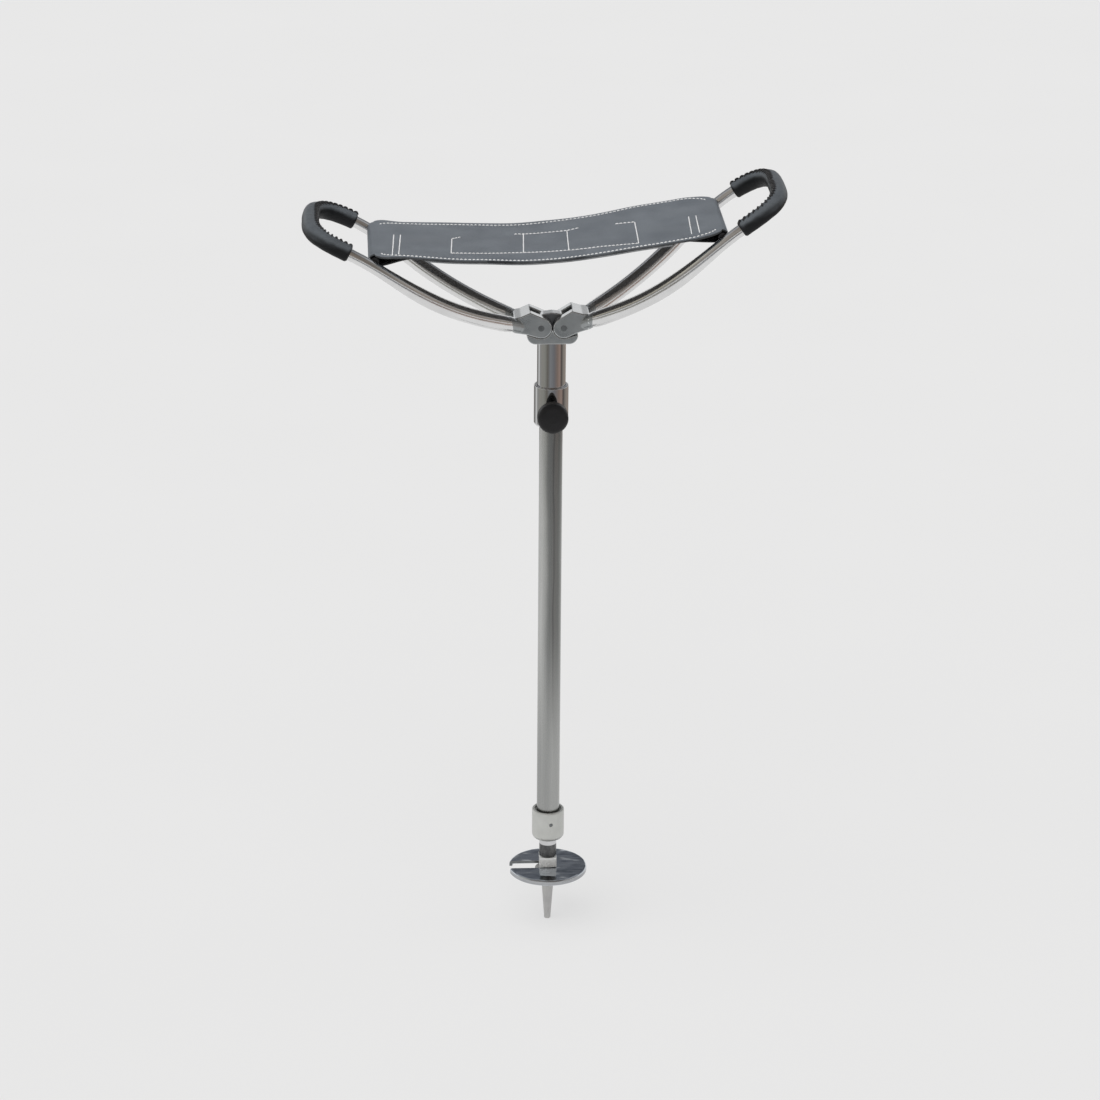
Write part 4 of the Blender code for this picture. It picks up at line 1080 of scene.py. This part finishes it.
def root_rings(y_sign, place, steps=12, fine=60):
    """The casting's skin on the start of a rod, which runs out in a slant along the rod's top."""
    longest = ROOT_AT + ROOT_SLANT
    frames = route([(s, y_sign * rod_half(s)) for s in evenly(ROD_START, longest, fine)])
    rings = []
    for i in range(steps + 1):
        ring = []
        thick = ROOT_SKIN * (1.0 - ROOT_DIVE[0] * (i / steps) ** ROOT_DIVE[1])
        for a in ring_angles(ROD_SIDES, 0.5):
            end = ROOT_AT + ROOT_SLANT * math.sin(a)
            s = ROD_START + (end - ROD_START) * i / steps
            p, along, outward, up = frame_at(frames, (s - ROD_START) / (longest - ROD_START))
            ring.append(place(*(p + (rod_reach(s, a) + thick) * at_angle(a, outward, up))))
        rings.append(ring)
    return rings


def yoke_line():
    """The knuckle's side: round the pin on the inside, a peak above, a stop face below."""
    low = tangent(YOKE_STOP, LUG_R, -1.0)
    high = tangent(YOKE_PEAK, LUG_R, 1.0)
    inner = arc((0.0, 0.0), LUG_R, low, high - 2 * math.pi, 44)
    return rounded(inner + [YOKE_PEAK, YOKE_SHOULDER, YOKE_TOP, YOKE_END, YOKE_FOOT, YOKE_STOP], 5)


def add_arm(side, sign, lift):
    """One arm: knuckle and looped rod."""
    place = arm_place(sign, lift)
    yoke = slab(yoke_line(), HEAD_HALF_DEPTH, place, YOKE_EDGE)
    reach = 2 * LUG_R
    slot_corners = [(-reach, -reach), (YOKE_SLOT, -reach), (YOKE_SLOT, reach), (-reach, reach)]
    half = TONGUE_HALF + LUG_GAP
    slot = skin([[place(u, y, v) for u, v in slot_corners] for y in (-half, half)])
    hole = rod(PIN_R / 2, -2 * HEAD_HALF_DEPTH, 2 * HEAD_HALF_DEPTH, SMALL_SIDES, "-Y")
    roots = [skin(root_rings(y_sign, place)) for y_sign in (-1.0, 1.0)]
    knuckle = cast([cut(yoke, slot, moved(hole, sign * PIN_X, HINGE_Z))] + roots, KNUCKLE_PASSES)
    add_piece(side + "_knuckle", knuckle, HEAD_METAL, side + "_arm", (), 60.0)
    leg = leg_stations(48)
    loop = [loop_point(a) for a in even_turns(0.0, math.pi, 110)]
    stations = leg + loop + [(s, -y) for s, y in reversed(leg)]
    add_piece(side + "_rods", skin(rod_rings(stations, place)), ARM_METAL, side + "_arm",
              [side + "_arm"], 60.0)


# Grips: a leather sleeve round the loop, laced along a seam on its top
def seam_turn(share, seam):
    """Turn of the seam at a share of the sleeve's length, from the front leg to the back leg."""
    front, end, back = [math.radians(a) for a in seam]
    if share < 0.5:
        return part_way(front, end, ease(share * 2))
    return part_way(end, back, ease((share - 0.5) * 2))


def sleeve_radius(turn, share, length, seam):
    """Outer radius of the sleeve: a squarish round with a seam groove, soft wrinkles and rolled ends."""
    base = square_reach(GRIP_R, turn, GRIP_SQUARE)
    aside = (turn - seam_turn(share, seam) + math.pi) % (2 * math.pi) - math.pi
    groove = SEAM_GROOVE * math.exp(-(aside * GRIP_R / SEAM_GROOVE) ** 2)
    welt_h, welt_at, welt_w = SEAM_WELT
    welt = welt_h * math.exp(-((abs(aside) * GRIP_R - welt_at) / welt_w) ** 2)
    along, out = WRINKLE_CELLS
    wrinkle = WRINKLE * noise.noise(Vector((share * along, math.cos(turn) * out, math.sin(turn) * out)))
    from_end = min(share, 1.0 - share) * length
    rolled = 1.0 - math.sqrt(max(0.0, 1.0 - (1.0 - min(from_end / ROLLED_END[1], 1.0)) ** 2))
    return base - groove + welt + wrinkle - ROLLED_END[0] * rolled


def add_grip(side, sign, lift, seam, steps=150, sides=64):
    """The laced leather sleeve on one loop."""
    place = arm_place(sign, lift)
    front_at, back_at = (GRIP_SHORT_AT, GRIP_LONG_AT) if sign < 0 else (GRIP_LONG_AT, GRIP_SHORT_AT)
    turns = even_turns(loop_turn(front_at), math.pi - loop_turn(back_at), steps)
    frames = route([loop_point(a) for a in turns])
    length = sum((b[0] - a[0]).length for a, b in zip(frames, frames[1:]))
    outer, inner = [], []
    for k, (p, along, outward, up) in enumerate(frames):
        ways = [(a, at_angle(a, outward, up)) for a in ring_angles(sides)]
        outer.append([place(*(p + sleeve_radius(a, k / steps, length, seam) * away)) for a, away in ways])
        inner.append([place(*(p + (LOOP_R + SLEEVE_GAP) * away)) for a, away in ways])
    sleeve = add_piece(side + "_grip_sleeve", skin(outer + list(reversed(inner)), True), GRIP_LEATHER,
                       side + "_arm", [side + "_grip"], 60.0)
    # Painted top light, with rubbing: how far each point faces up, for the lighter colour of the leather.
    wear_and_top_light = sleeve.data.attributes.new("wear_and_top_light", "FLOAT", "POINT")
    for v in sleeve.data.vertices:
        wear_and_top_light.data[v.index].value = ease((v.normal.z - TOP_LIGHT_WEAR[0]) / TOP_LIGHT_WEAR[1])
    lace = bmesh.new()
    count = int(length / LACE_PITCH)
    for i in range(count):
        add_lace(lace, frames, (i + 0.5) / count, length, place, seam)
    laces = add_piece(side + "_grip_lacing", lace, BLACK_LACE, side + "_arm", (), 80.0)


def add_lace(bm, frames, share, length, place, seam, sides=8, steps=10):
    """One turn of lace over the seam: a short slanting arc whose ends go into the leather."""
    spread = LACE_SPREAD / GRIP_R
    slant = LACE_SLANT / length
    centres = []
    for t in evenly(-1.0, 1.0, steps):
        p, along, outward, up = frame_at(frames, share + slant * t)
        away = at_angle(seam_turn(share, seam) + spread * t, outward, up)
        lift = LACE_LIFT * (1.0 - t * t) - LACE_DIP * t ** 4
        centres.append(p + (GRIP_R + LACE_CLEAR + lift) * away)
    rings = []
    for k, c in enumerate(centres):
        run = (centres[min(k + 1, steps)] - centres[max(k - 1, 0)]).normalized()
        across = run.orthogonal().normalized()
        other = run.cross(across)
        rings.append([place(*(c + LACE_R * at_angle(a, across, other))) for a in ring_angles(sides)])
    skin(rings, bm=bm)


for side, sign, lift, seam in ARMS:
    add_arm(side, sign, lift)
for side, sign, lift, seam in ARMS:
    add_grip(side, sign, lift, seam)


# Sling bars
def bar_in_world(sign, lift):
    """The sling bar's axis: x and z."""
    u, v, angle = middle_line(BAR_AT)
    p = arm_place(sign, lift)(u - BAR_RISE * math.sin(angle), 0.0, v + BAR_RISE * math.cos(angle))
    return p.x, p.z


ROD_GAP_HALF = rod_half(BAR_AT) - rod_radius(BAR_AT)
BAR_REACH = ROD_GAP_HALF + BAR_SEAT - GAP
bars = {side: bar_in_world(sign, lift) for side, sign, lift, seam in ARMS}
for side, (bar_x, bar_z) in bars.items():
    bar = rod(BAR_R, -BAR_REACH, BAR_REACH, SMALL_SIDES, "-Y", 0.4 * MM)
    add_piece(side + "_bar_turned", moved(bar, bar_x, bar_z), BAR_PAINTED_SHADE, side + "_arm",
              [side + "_sling_bar"])


# Sling
chord_turn = math.atan2(bars["right"][1] - bars["left"][1], bars["right"][0] - bars["left"][0])
ends = {side: (x - WRAP_R * math.sin(chord_turn), z + WRAP_R * math.cos(chord_turn))
        for side, (x, z) in bars.items()}
SLING_MIDDLE = (ends["left"][0] + ends["right"][0]) / 2
HALF_LENGTH = {side: abs(x - SLING_MIDDLE) for side, (x, z) in ends.items()}
FOLD_HALF = ROD_GAP_HALF - FOLD_GAP

# Sewing lines on the seat, as (x, y) in millimetres in the row frame
CROSS_SEAMS = [
    [(-153.5, 10.5), (-156.0, -60.0)],
    [(-147.0, 11.0), (-150.0, -60.0)],
    [(132.4, 1.5), (130.6, -53.0)],
    [(139.4, 1.2), (138.2, -53.5)],
]
LONG_FRAME = [(-88.5, 10.5), (-97.4, 2.8), (-99.6, -47.0), (-72.0, -44.0), (-30.5, -42.2), (11.6, -43.4),
              (43.0, -47.3), (79.7, -55.6), (80.8, 9.9), (61.8, 15.4)]
MIDDLE_BOX = [
    [(-27.2, 20.2), (-30.0, -41.6)],
    [(15.2, 17.2), (13.5, -43.2)],
    [(-36.3, 21.6), (-11.0, 19.7), (15.2, 17.2), (27.1, 21.6)],
]
NEAR_ROW = [(-167.0, -54.0), (-164.0, -58.5), (-158.0, -61.5), (-146.0, -63.3), (-73.0, -64.3), (0.0, -64.6),
            (89.0, -64.4), (132.0, -63.2), (145.0, -61.0), (151.0, -57.5), (154.0, -53.0)]
FAR_ROW = [(-167.0, 46.0), (-163.5, 49.0), (-156.0, 50.5), (-135.0, 51.2), (-60.0, 52.6), (0.0, 53.6),
           (60.0, 55.0), (120.0, 56.6), (140.0, 56.4), (149.0, 54.0), (153.5, 49.0)]


def sling_line(x):
    """Height and upward normal of the top layer's middle surface along the seat's middle."""
    (x0, z0), (x1, z1) = ends["left"], ends["right"]
    t = (x - x0) / (x1 - x0)
    bow = max(4 * t * (1 - t), 0.0)
    z = part_way(z0, z1, t) - SAG * bow ** 1.5
    angle = math.atan((z1 - z0 - 6 * SAG * math.sqrt(bow) * (1 - 2 * t)) / (x1 - x0))
    return z, Vector((-math.sin(angle), 0.0, math.cos(angle)))


def half_width(distance, y):
    """Half width of the top layer on one side, at a distance from the fold."""
    full = NEAR_HALF if y < 0 else FAR_HALF
    corner = 1.0 - min(max(distance, 0.0) / CORNER, 1.0)
    return part_way(FOLD_HALF, full, math.sqrt(1.0 - corner * corner))


def sway(x, y):
    """How far the seat's sheet leaves the plain sagging strip: twist, slack, puckers and rolled edges."""
    from_bar = min(abs(x - ends["left"][0]), abs(x - ends["right"][0]))
    free = ease(from_bar / FREE_AT)
    share = (x - ends["left"][0]) / (ends["right"][0] - ends["left"][0])
    twist = part_way(*TWIST, share) * y / NEAR_HALF
    slack = sum(lift * math.exp(-((x - at) / width) ** 2) for lift, at, width in SLACKS)
    cells_x, cells_y, layer = PUCKER_NOISE
    soft = PUCKER * noise.noise(Vector((x * cells_x, y * cells_y, layer)))
    full = NEAR_HALF if y < 0 else FAR_HALF
    drop, width = EDGE_ROLL
    edge = max(0.0, (abs(y) - full + width) / width)
    return free * (twist + slack + soft - drop * edge * edge)


def half_run(side, sign, top_steps=84, fold_steps=20, flap_steps=24):
    """Stations of one half from the middle to the fold, round the bar and back: point, normal, run, kind."""
    bar_x, bar_z = bars[side]
    end_x = ends[side][0]
    made = []
    for t in evenly(0.0, 1.0, top_steps):
        distance = HALF_LENGTH[side] * (1.0 - ease_out(t, FOLD_FINER))
        x = end_x - sign * distance
        z, normal = sling_line(x)
        made.append((Vector((x, 0.0, z)), normal, distance, "top"))
    start = math.atan2(made[-1][1].z, made[-1][1].x)
    for k in range(1, fold_steps + 1):
        angle = start - sign * math.pi * k / fold_steps
        normal = Vector((math.cos(angle), 0.0, math.sin(angle)))
        made.append((Vector((bar_x, 0.0, bar_z)) + WRAP_R * normal, normal, 0.0, "fold"))
    for distance in evenly(0.0, FLAP, flap_steps)[1:]:
        x = end_x - sign * distance
        z, normal = sling_line(x)
        below = part_way(FLAP_LAYER, 2 * WRAP_R, 1.0 - ease(distance / FLAP_CLOSE))
        made.append((Vector((x, 0.0, z)) - below * normal, -normal, distance, "flap"))
    return made


def section(station, thickness, columns):
    """A closed ring across the sheet: top face, rounded rim, under face, rounded rim."""
    point, normal, distance, kind = station
    near = half_width(distance, -1.0) if kind == "top" else FOLD_HALF
    far = half_width(distance, 1.0) if kind == "top" else FOLD_HALF
    half_t = thickness / 2

    def at(y, offset):
        lift = sway(point.x, y) if kind != "fold" else 0.0
        base = point + normal * offset
        return Vector((base.x, y, base.z + lift))

    across = [-near + half_t + (near + far - thickness) * j / columns for j in range(columns + 1)]
    ring = []
    for ys, facing, middle in ((across, 1.0, far - half_t), (across[::-1], -1.0, -near + half_t)):
        ring += [at(y, facing * half_t) for y in ys]
        for j in range(1, RIM_SIDES):
            a = facing * math.pi / 2 - math.pi * j / RIM_SIDES
            ring.append(at(middle + half_t * math.cos(a), half_t * math.sin(a)))
    return ring


def lining_section(side, sign, distance):
    """A closed ring across the lining, under the top layer."""
    x = ends[side][0] - sign * distance
    z, normal = sling_line(x)
    below = LEATHER_T / 2 + LINING_GAP + LINING_T / 2
    station = (Vector((x, 0.0, z)) - below * normal, normal, distance, "top")
    return section(station, LINING_T, LINING_COLUMNS)


def on_leather(x, y):
    """A point on the seat's top face, with its normal."""
    z, normal = sling_line(x)
    return Vector((x, y, z + sway(x, y))) + normal * LEATHER_T / 2, normal


def add_stitch(bm, start, end, sides=7, steps=6):
    """One stitch: a short thread that dips into the leather at both ends."""
    (p, n), (q, m) = on_leather(*start), on_leather(*end)
    run = (q - p).normalized()
    across = n.cross(run).normalized()
    made = []
    for t in evenly(0.0, 1.0, steps):
        swell = math.sin(math.pi * min(max(t, STITCH_TIP), 1.0 - STITCH_TIP)) ** 0.5
        centre = p.lerp(q, t) + n * STITCH_R * (STITCH_RISE * swell - STITCH_SINK)
        made.append([centre + STITCH_R * swell * at_angle(a, across, n) for a in ring_angles(sides)])
    skin(made, bm=bm)


def stitch_places(line):
    """Start and end of each stitch along a line of (x, y) corners."""
    made = []
    fill = STITCH_L / STITCH_PITCH
    for a, b in zip(line, line[1:]):
        count = max(1, round(math.dist(a, b) / STITCH_PITCH))
        for k in range(count):
            shares = ((k + 0.5 - fill / 2) / count, (k + 0.5 + fill / 2) / count)
            made.append([point_between(a, b, share) for share in shares])
    return made


def all_stitches():
    """Every stitch of the seat."""
    made = []
    for line in CROSS_SEAMS + [LONG_FRAME] + MIDDLE_BOX:
        made += stitch_places([(x * MM, y * MM) for x, y in line])
    for line in (NEAR_ROW, FAR_ROW):
        made += even_stitches([(x * MM, y * MM) for x, y in line])
    return made


def even_stitches(line):
    """Stitches at one pitch along a bending line."""
    run = [0.0]
    for a, b in zip(line, line[1:]):
        run.append(run[-1] + math.dist(a, b))

    def at(length):
        k = next(i for i, r in enumerate(run[1:], 1) if r >= length - 1e-12 or i == len(run) - 1)
        t = (length - run[k - 1]) / (run[k] - run[k - 1])
        return point_between(line[k - 1], line[k], t)

    count = int(run[-1] / STITCH_PITCH)
    step = run[-1] / count
    first, last = EDGE_STITCH
    return [(at((k + first) * step), at((k + last) * step)) for k in range(count)]


def add_sling_half(side, sign):
    """One half of the sling: leather with its flap, lining and sewing."""
    run = half_run(side, sign)
    leather_rings = [section(station, LEATHER_T, LEATHER_COLUMNS) for station in run]
    paint = [0] * LEATHER_COLUMNS + [2] * RIM_SIDES + [0] * LEATHER_COLUMNS + [1] * RIM_SIDES
    # The flap's faces get the near-black leather: painted shade.
    flap_from = next(i for i, station in enumerate(run) if station[3] == "flap")
    sheet = add_piece("seat_" + side + "_leather", skin(leather_rings, False, paint, (flap_from, 3)),
                      [SEAT_LEATHER, EDGE_DYE, RAW_EDGE, FLAP_PAINTED_SHADE], side + "_sling",
                      ["seat_leather_" + side], 50.0)
    length = HALF_LENGTH[side]
    start = LINING_START
    lining_rings = [lining_section(side, sign, run_at) for run_at in evenly(start, length, LINING_RUNS)]
    lining_paint = [0] * (LINING_COLUMNS + RIM_SIDES + LINING_COLUMNS) + [1] * RIM_SIDES
    lining = add_piece("seat_" + side + "_lining", skin(lining_rings, False, lining_paint),
                       [SEAT_LINING, LINING_EDGE], side + "_sling",
                       ["seat_lining_" + side], 50.0)
    sewing = bmesh.new()
    for a, b in all_stitches():
        middle = (a[0] + b[0]) / 2
        if (middle < SLING_MIDDLE) == (sign < 0):
            add_stitch(sewing, a, b)
    stitches = add_piece("seat_" + side + "_stitches", sewing, WHITE_THREAD, side + "_sling",
                         (), 80.0)
    for piece in (sheet, lining, stitches):
        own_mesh(piece)


for side, sign, lift, seam in ARMS:
    add_sling_half(side, sign)

# Frame nodes that stay, inside or nearly hidden
for node, finish in (("ferrule_pin", PIN_METAL), ("tube_plug", PLUG_PLASTIC), ("pressure_pad", BRASS),
                     ("head_pin", PIN_METAL)):
    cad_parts[node].data.materials.clear()
    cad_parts[node].data.materials.append(finish)


# Floor and surroundings
PALE = 0.791                            # the photograph's background, as light
FLOOR_HALF = 30.0
FLOOR_GLOW = 0.72                       # share of the floor's tone that doesn't depend on the lights
CARD_RING = (1.46, 1.54, 4.60, 5.60)    # radii between which mirrors see toned cards round the object
CARD_TONES = [                          # turn from 0 at -X over the front and +X, with a tone
    (0.00, (0.34, 0.33, 0.30)),
    (0.10, (0.30, 0.30, 0.27)),
    (0.16, (0.17, 0.16, 0.14)),
    (0.22, (0.26, 0.27, 0.28)),
    (0.30, (0.20, 0.20, 0.21)),
    (0.38, (0.26, 0.20, 0.17)),
    (0.44, (0.36, 0.27, 0.23)),
    (0.485, (0.09, 0.08, 0.075)),
    (0.54, (0.28, 0.25, 0.22)),
    (0.64, (0.36, 0.31, 0.27)),
    (0.76, (0.12, 0.10, 0.09)),
    (0.84, (0.24, 0.24, 0.23)),
    (0.885, (0.42, 0.42, 0.41)),
    (0.92, (0.86, 0.86, 0.85)),
    (0.945, (0.40, 0.40, 0.39)),
    (0.97, (0.33, 0.33, 0.31)),
]
FRONT_SKY = [                           # what mirrors see by the height of the direction, towards the camera
    (0.0, (0.52, 0.52, 0.51)),
    (0.04, (0.31, 0.30, 0.29)),
    (0.12, (0.21, 0.20, 0.19)),
    (0.30, (0.185, 0.175, 0.165)),
    (0.50, (0.165, 0.160, 0.152)),
    (0.70, (0.140, 0.138, 0.135)),
    (0.88, (0.125, 0.125, 0.125)),
    (0.97, (0.17, 0.17, 0.172)),
    (1.0, (0.20, 0.20, 0.20)),
]
BACK_SKY = [                            # and behind the object
    (0.0, (0.79, 0.79, 0.79)),
    (0.23, (0.79, 0.79, 0.79)),
    (0.30, (0.42, 0.42, 0.42)),
    (0.36, (0.110, 0.112, 0.116)),
    (0.52, (0.095, 0.098, 0.104)),
    (0.66, (0.26, 0.26, 0.265)),
    (0.86, (0.32, 0.32, 0.32)),
    (1.0, (0.20, 0.20, 0.20)),
]
WALLS = (                               # sky, darkest and lightest tint of its walls, and where they start
    (FRONT_SKY, (0.72, 0.74, 0.74), (1.45, 1.22, 1.06), 0.05),
    (BACK_SKY, (0.55, 0.57, 0.60), (1.50, 1.52, 1.58), 0.30),
)
WALL_CELLS = 3.4                        # of the tint's noise, over the dome
WALL_TINT = (0.36, 0.64)                # noise at the darkest and at the lightest tint
WALL_FADE = 0.12                        # height over which the tint comes in
FACE_FADE = 0.2                         # how far the front and the back run into each other
SIDE_AT = (0.50, 0.80)                  # directions aside, and upward, over which the sides get lighter
SIDE_RISE = (0.15, 0.4)
SIDE_GLOW = 0.20                        # how much lighter the two sides are
SPOT_EDGE = (0.90, 0.98)                # nearness over which a patch comes in
WALL_SPOTS = [                          # paler patches of the wall: direction and the light each adds
    ((-0.38, -0.75, 0.54), (0.13, 0.13, 0.125)),
    ((-0.90, -0.12, 0.38), (0.17, 0.17, 0.12)),
]


def grey(level):
    """An even grey."""
    return (level, level, level, 1.0)


def add_floor():
    """A wide pale floor that keeps the object's shadow; mirrors also see a ring of toned cards on it."""
    corners = ((-1, -1), (1, -1), (1, 1), (-1, 1))
    mesh = bpy.data.meshes.new("floor")
    mesh.from_pydata([(x * FLOOR_HALF, y * FLOOR_HALF, 0.0) for x, y in corners], [], [(0, 1, 2, 3)])
    made = add_object("floor", mesh)
    finish, tree, shader = start_material("floor_paper")
    mesh.materials.append(finish)
    paper = two_tone(tree, scaled_noise(tree, 3.0, 2.0), (0.80, 0.80, 0.80), (0.82, 0.82, 0.82))
    feed(tree, shader, {"Roughness": 0.9, "Specular IOR Level": 0.0, "Base Color": paper})
    ray = add_node(tree, "LightPath").outputs
    mirrored = reckoned(tree, "ADD", ray["Is Glossy Ray"], ray["Is Transmission Ray"])
    radius = add_node(tree, "VectorMath", {0: coordinates(tree)}, operation="LENGTH").outputs["Value"]
    inner, start, end, outer = CARD_RING
    ring = reckoned(tree, "MULTIPLY", between(tree, radius, inner, start),
                    between(tree, radius, end, outer, 1.0, 0.0))
    card = reckoned(tree, "MULTIPLY", ring, mirrored)
    tone = mixed(tree, card, grey(PALE), toned(tree, turn_round(tree), CARD_TONES))
    glow = add_node(tree, "Emission", {"Color": tone, "Strength": 1.0})
    seen = reckoned(tree, "ADD", ray["Is Camera Ray"], mirrored)
    glowing = reckoned(tree, "MULTIPLY_ADD", card, 1.0 - FLOOR_GLOW, FLOOR_GLOW)
    share = reckoned(tree, "MULTIPLY", seen, glowing)
    both = add_node(tree, "MixShader", {"Fac": share, 1: shader.outputs["BSDF"], 2: glow.outputs["Emission"]})
    feed(tree, tree.nodes["Material Output"], {"Surface": both.outputs["Shader"]})


def add_world():
    """A studio dome: a pale horizon, dim walls and a soft bright ceiling."""
    world = bpy.data.worlds.new("studio")
    bpy.context.scene.world = world
    world.use_nodes = True
    tree = world.node_tree
    tree.nodes.clear()
    way = coordinates(tree, "Generated")
    height = part_of(tree, way, "Z")
    walls = add_node(tree, "TexNoise", {"Vector": way, "Scale": WALL_CELLS, "Detail": 3.0}).outputs["Fac"]
    faces = []
    for stops, low, high, start in WALLS:
        tint = two_tone(tree, walls, low, high, *WALL_TINT)
        above = between(tree, height, start, start + WALL_FADE)
        faces.append(mixed(tree, above, toned(tree, height, stops), tint, "MULTIPLY"))
    light = mixed(tree, between(tree, part_of(tree, way, "Y"), -FACE_FADE, FACE_FADE), *faces)
    aside = reckoned(tree, "ABSOLUTE", part_of(tree, way, "X"))
    beside = reckoned(tree, "MULTIPLY", between(tree, aside, *SIDE_AT), between(tree, height, *SIDE_RISE))
    light = mixed(tree, beside, light, grey(SIDE_GLOW), "ADD")
    for spot, tone in WALL_SPOTS:
        facing = add_node(tree, "VectorMath", {0: way, 1: Vector(spot).normalized()}, operation="DOT_PRODUCT")
        near = between(tree, facing.outputs["Value"], *SPOT_EDGE)
        light = mixed(tree, near, light, (*tone, 1.0), "ADD")
    seen = add_node(tree, "LightPath").outputs["Is Camera Ray"]
    dome = add_node(tree, "Background", {"Color": mixed(tree, seen, light, grey(PALE))})
    add_node(tree, "OutputWorld", {"Surface": dome.outputs["Background"]})


def add_soft_sun(name, toward, strength, spread):
    """A wide soft light from one side, even over the floor; mirrors see the dome instead of it."""
    light = bpy.data.lights.new(name, "SUN")
    light.energy = strength
    light.angle = math.radians(spread)
    made = add_object(name, light)
    made.rotation_mode = "QUATERNION"
    made.rotation_quaternion = Vector(toward).to_track_quat("-Z", "Y")
    made.visible_glossy = False


add_floor()
add_world()
add_soft_sun("key", (0.45, 0.50, -1.0), 1.9, 70.0)
add_soft_sun("fill", (-0.7, 0.6, -0.8), 0.7, 90.0)
add_soft_sun("back", (-0.1, -0.8, -0.9), 0.5, 90.0)


# Camera
def add_camera():
    """The camera at the photograph's place."""
    cam = bpy.data.cameras.new("photo_camera")
    cam.sensor_width = SENSOR_MM
    cam.lens = SENSOR_MM * PHOTO_FOCAL / PHOTO_SIDE
    cam.clip_start = 0.1
    cam.clip_end = 100.0
    made = add_object("photo_camera", cam)
    look = Vector((math.sin(CAMERA_YAW) * math.cos(CAMERA_PITCH),
                   math.cos(CAMERA_YAW) * math.cos(CAMERA_PITCH), -math.sin(CAMERA_PITCH)))
    level = Vector((math.cos(CAMERA_YAW), -math.sin(CAMERA_YAW), 0.0))
    upright = level.cross(look)
    right = at_angle(CAMERA_ROLL, level, upright)
    up = math.cos(CAMERA_ROLL) * upright - math.sin(CAMERA_ROLL) * level
    turn = Matrix((right, up, -look)).transposed()
    made.matrix_world = Matrix.Translation(CAMERA_TARGET - CAMERA_DISTANCE * look) @ turn.to_4x4()
    bpy.context.scene.camera = made


add_camera()
bpy.context.scene.view_settings.view_transform = "Standard"
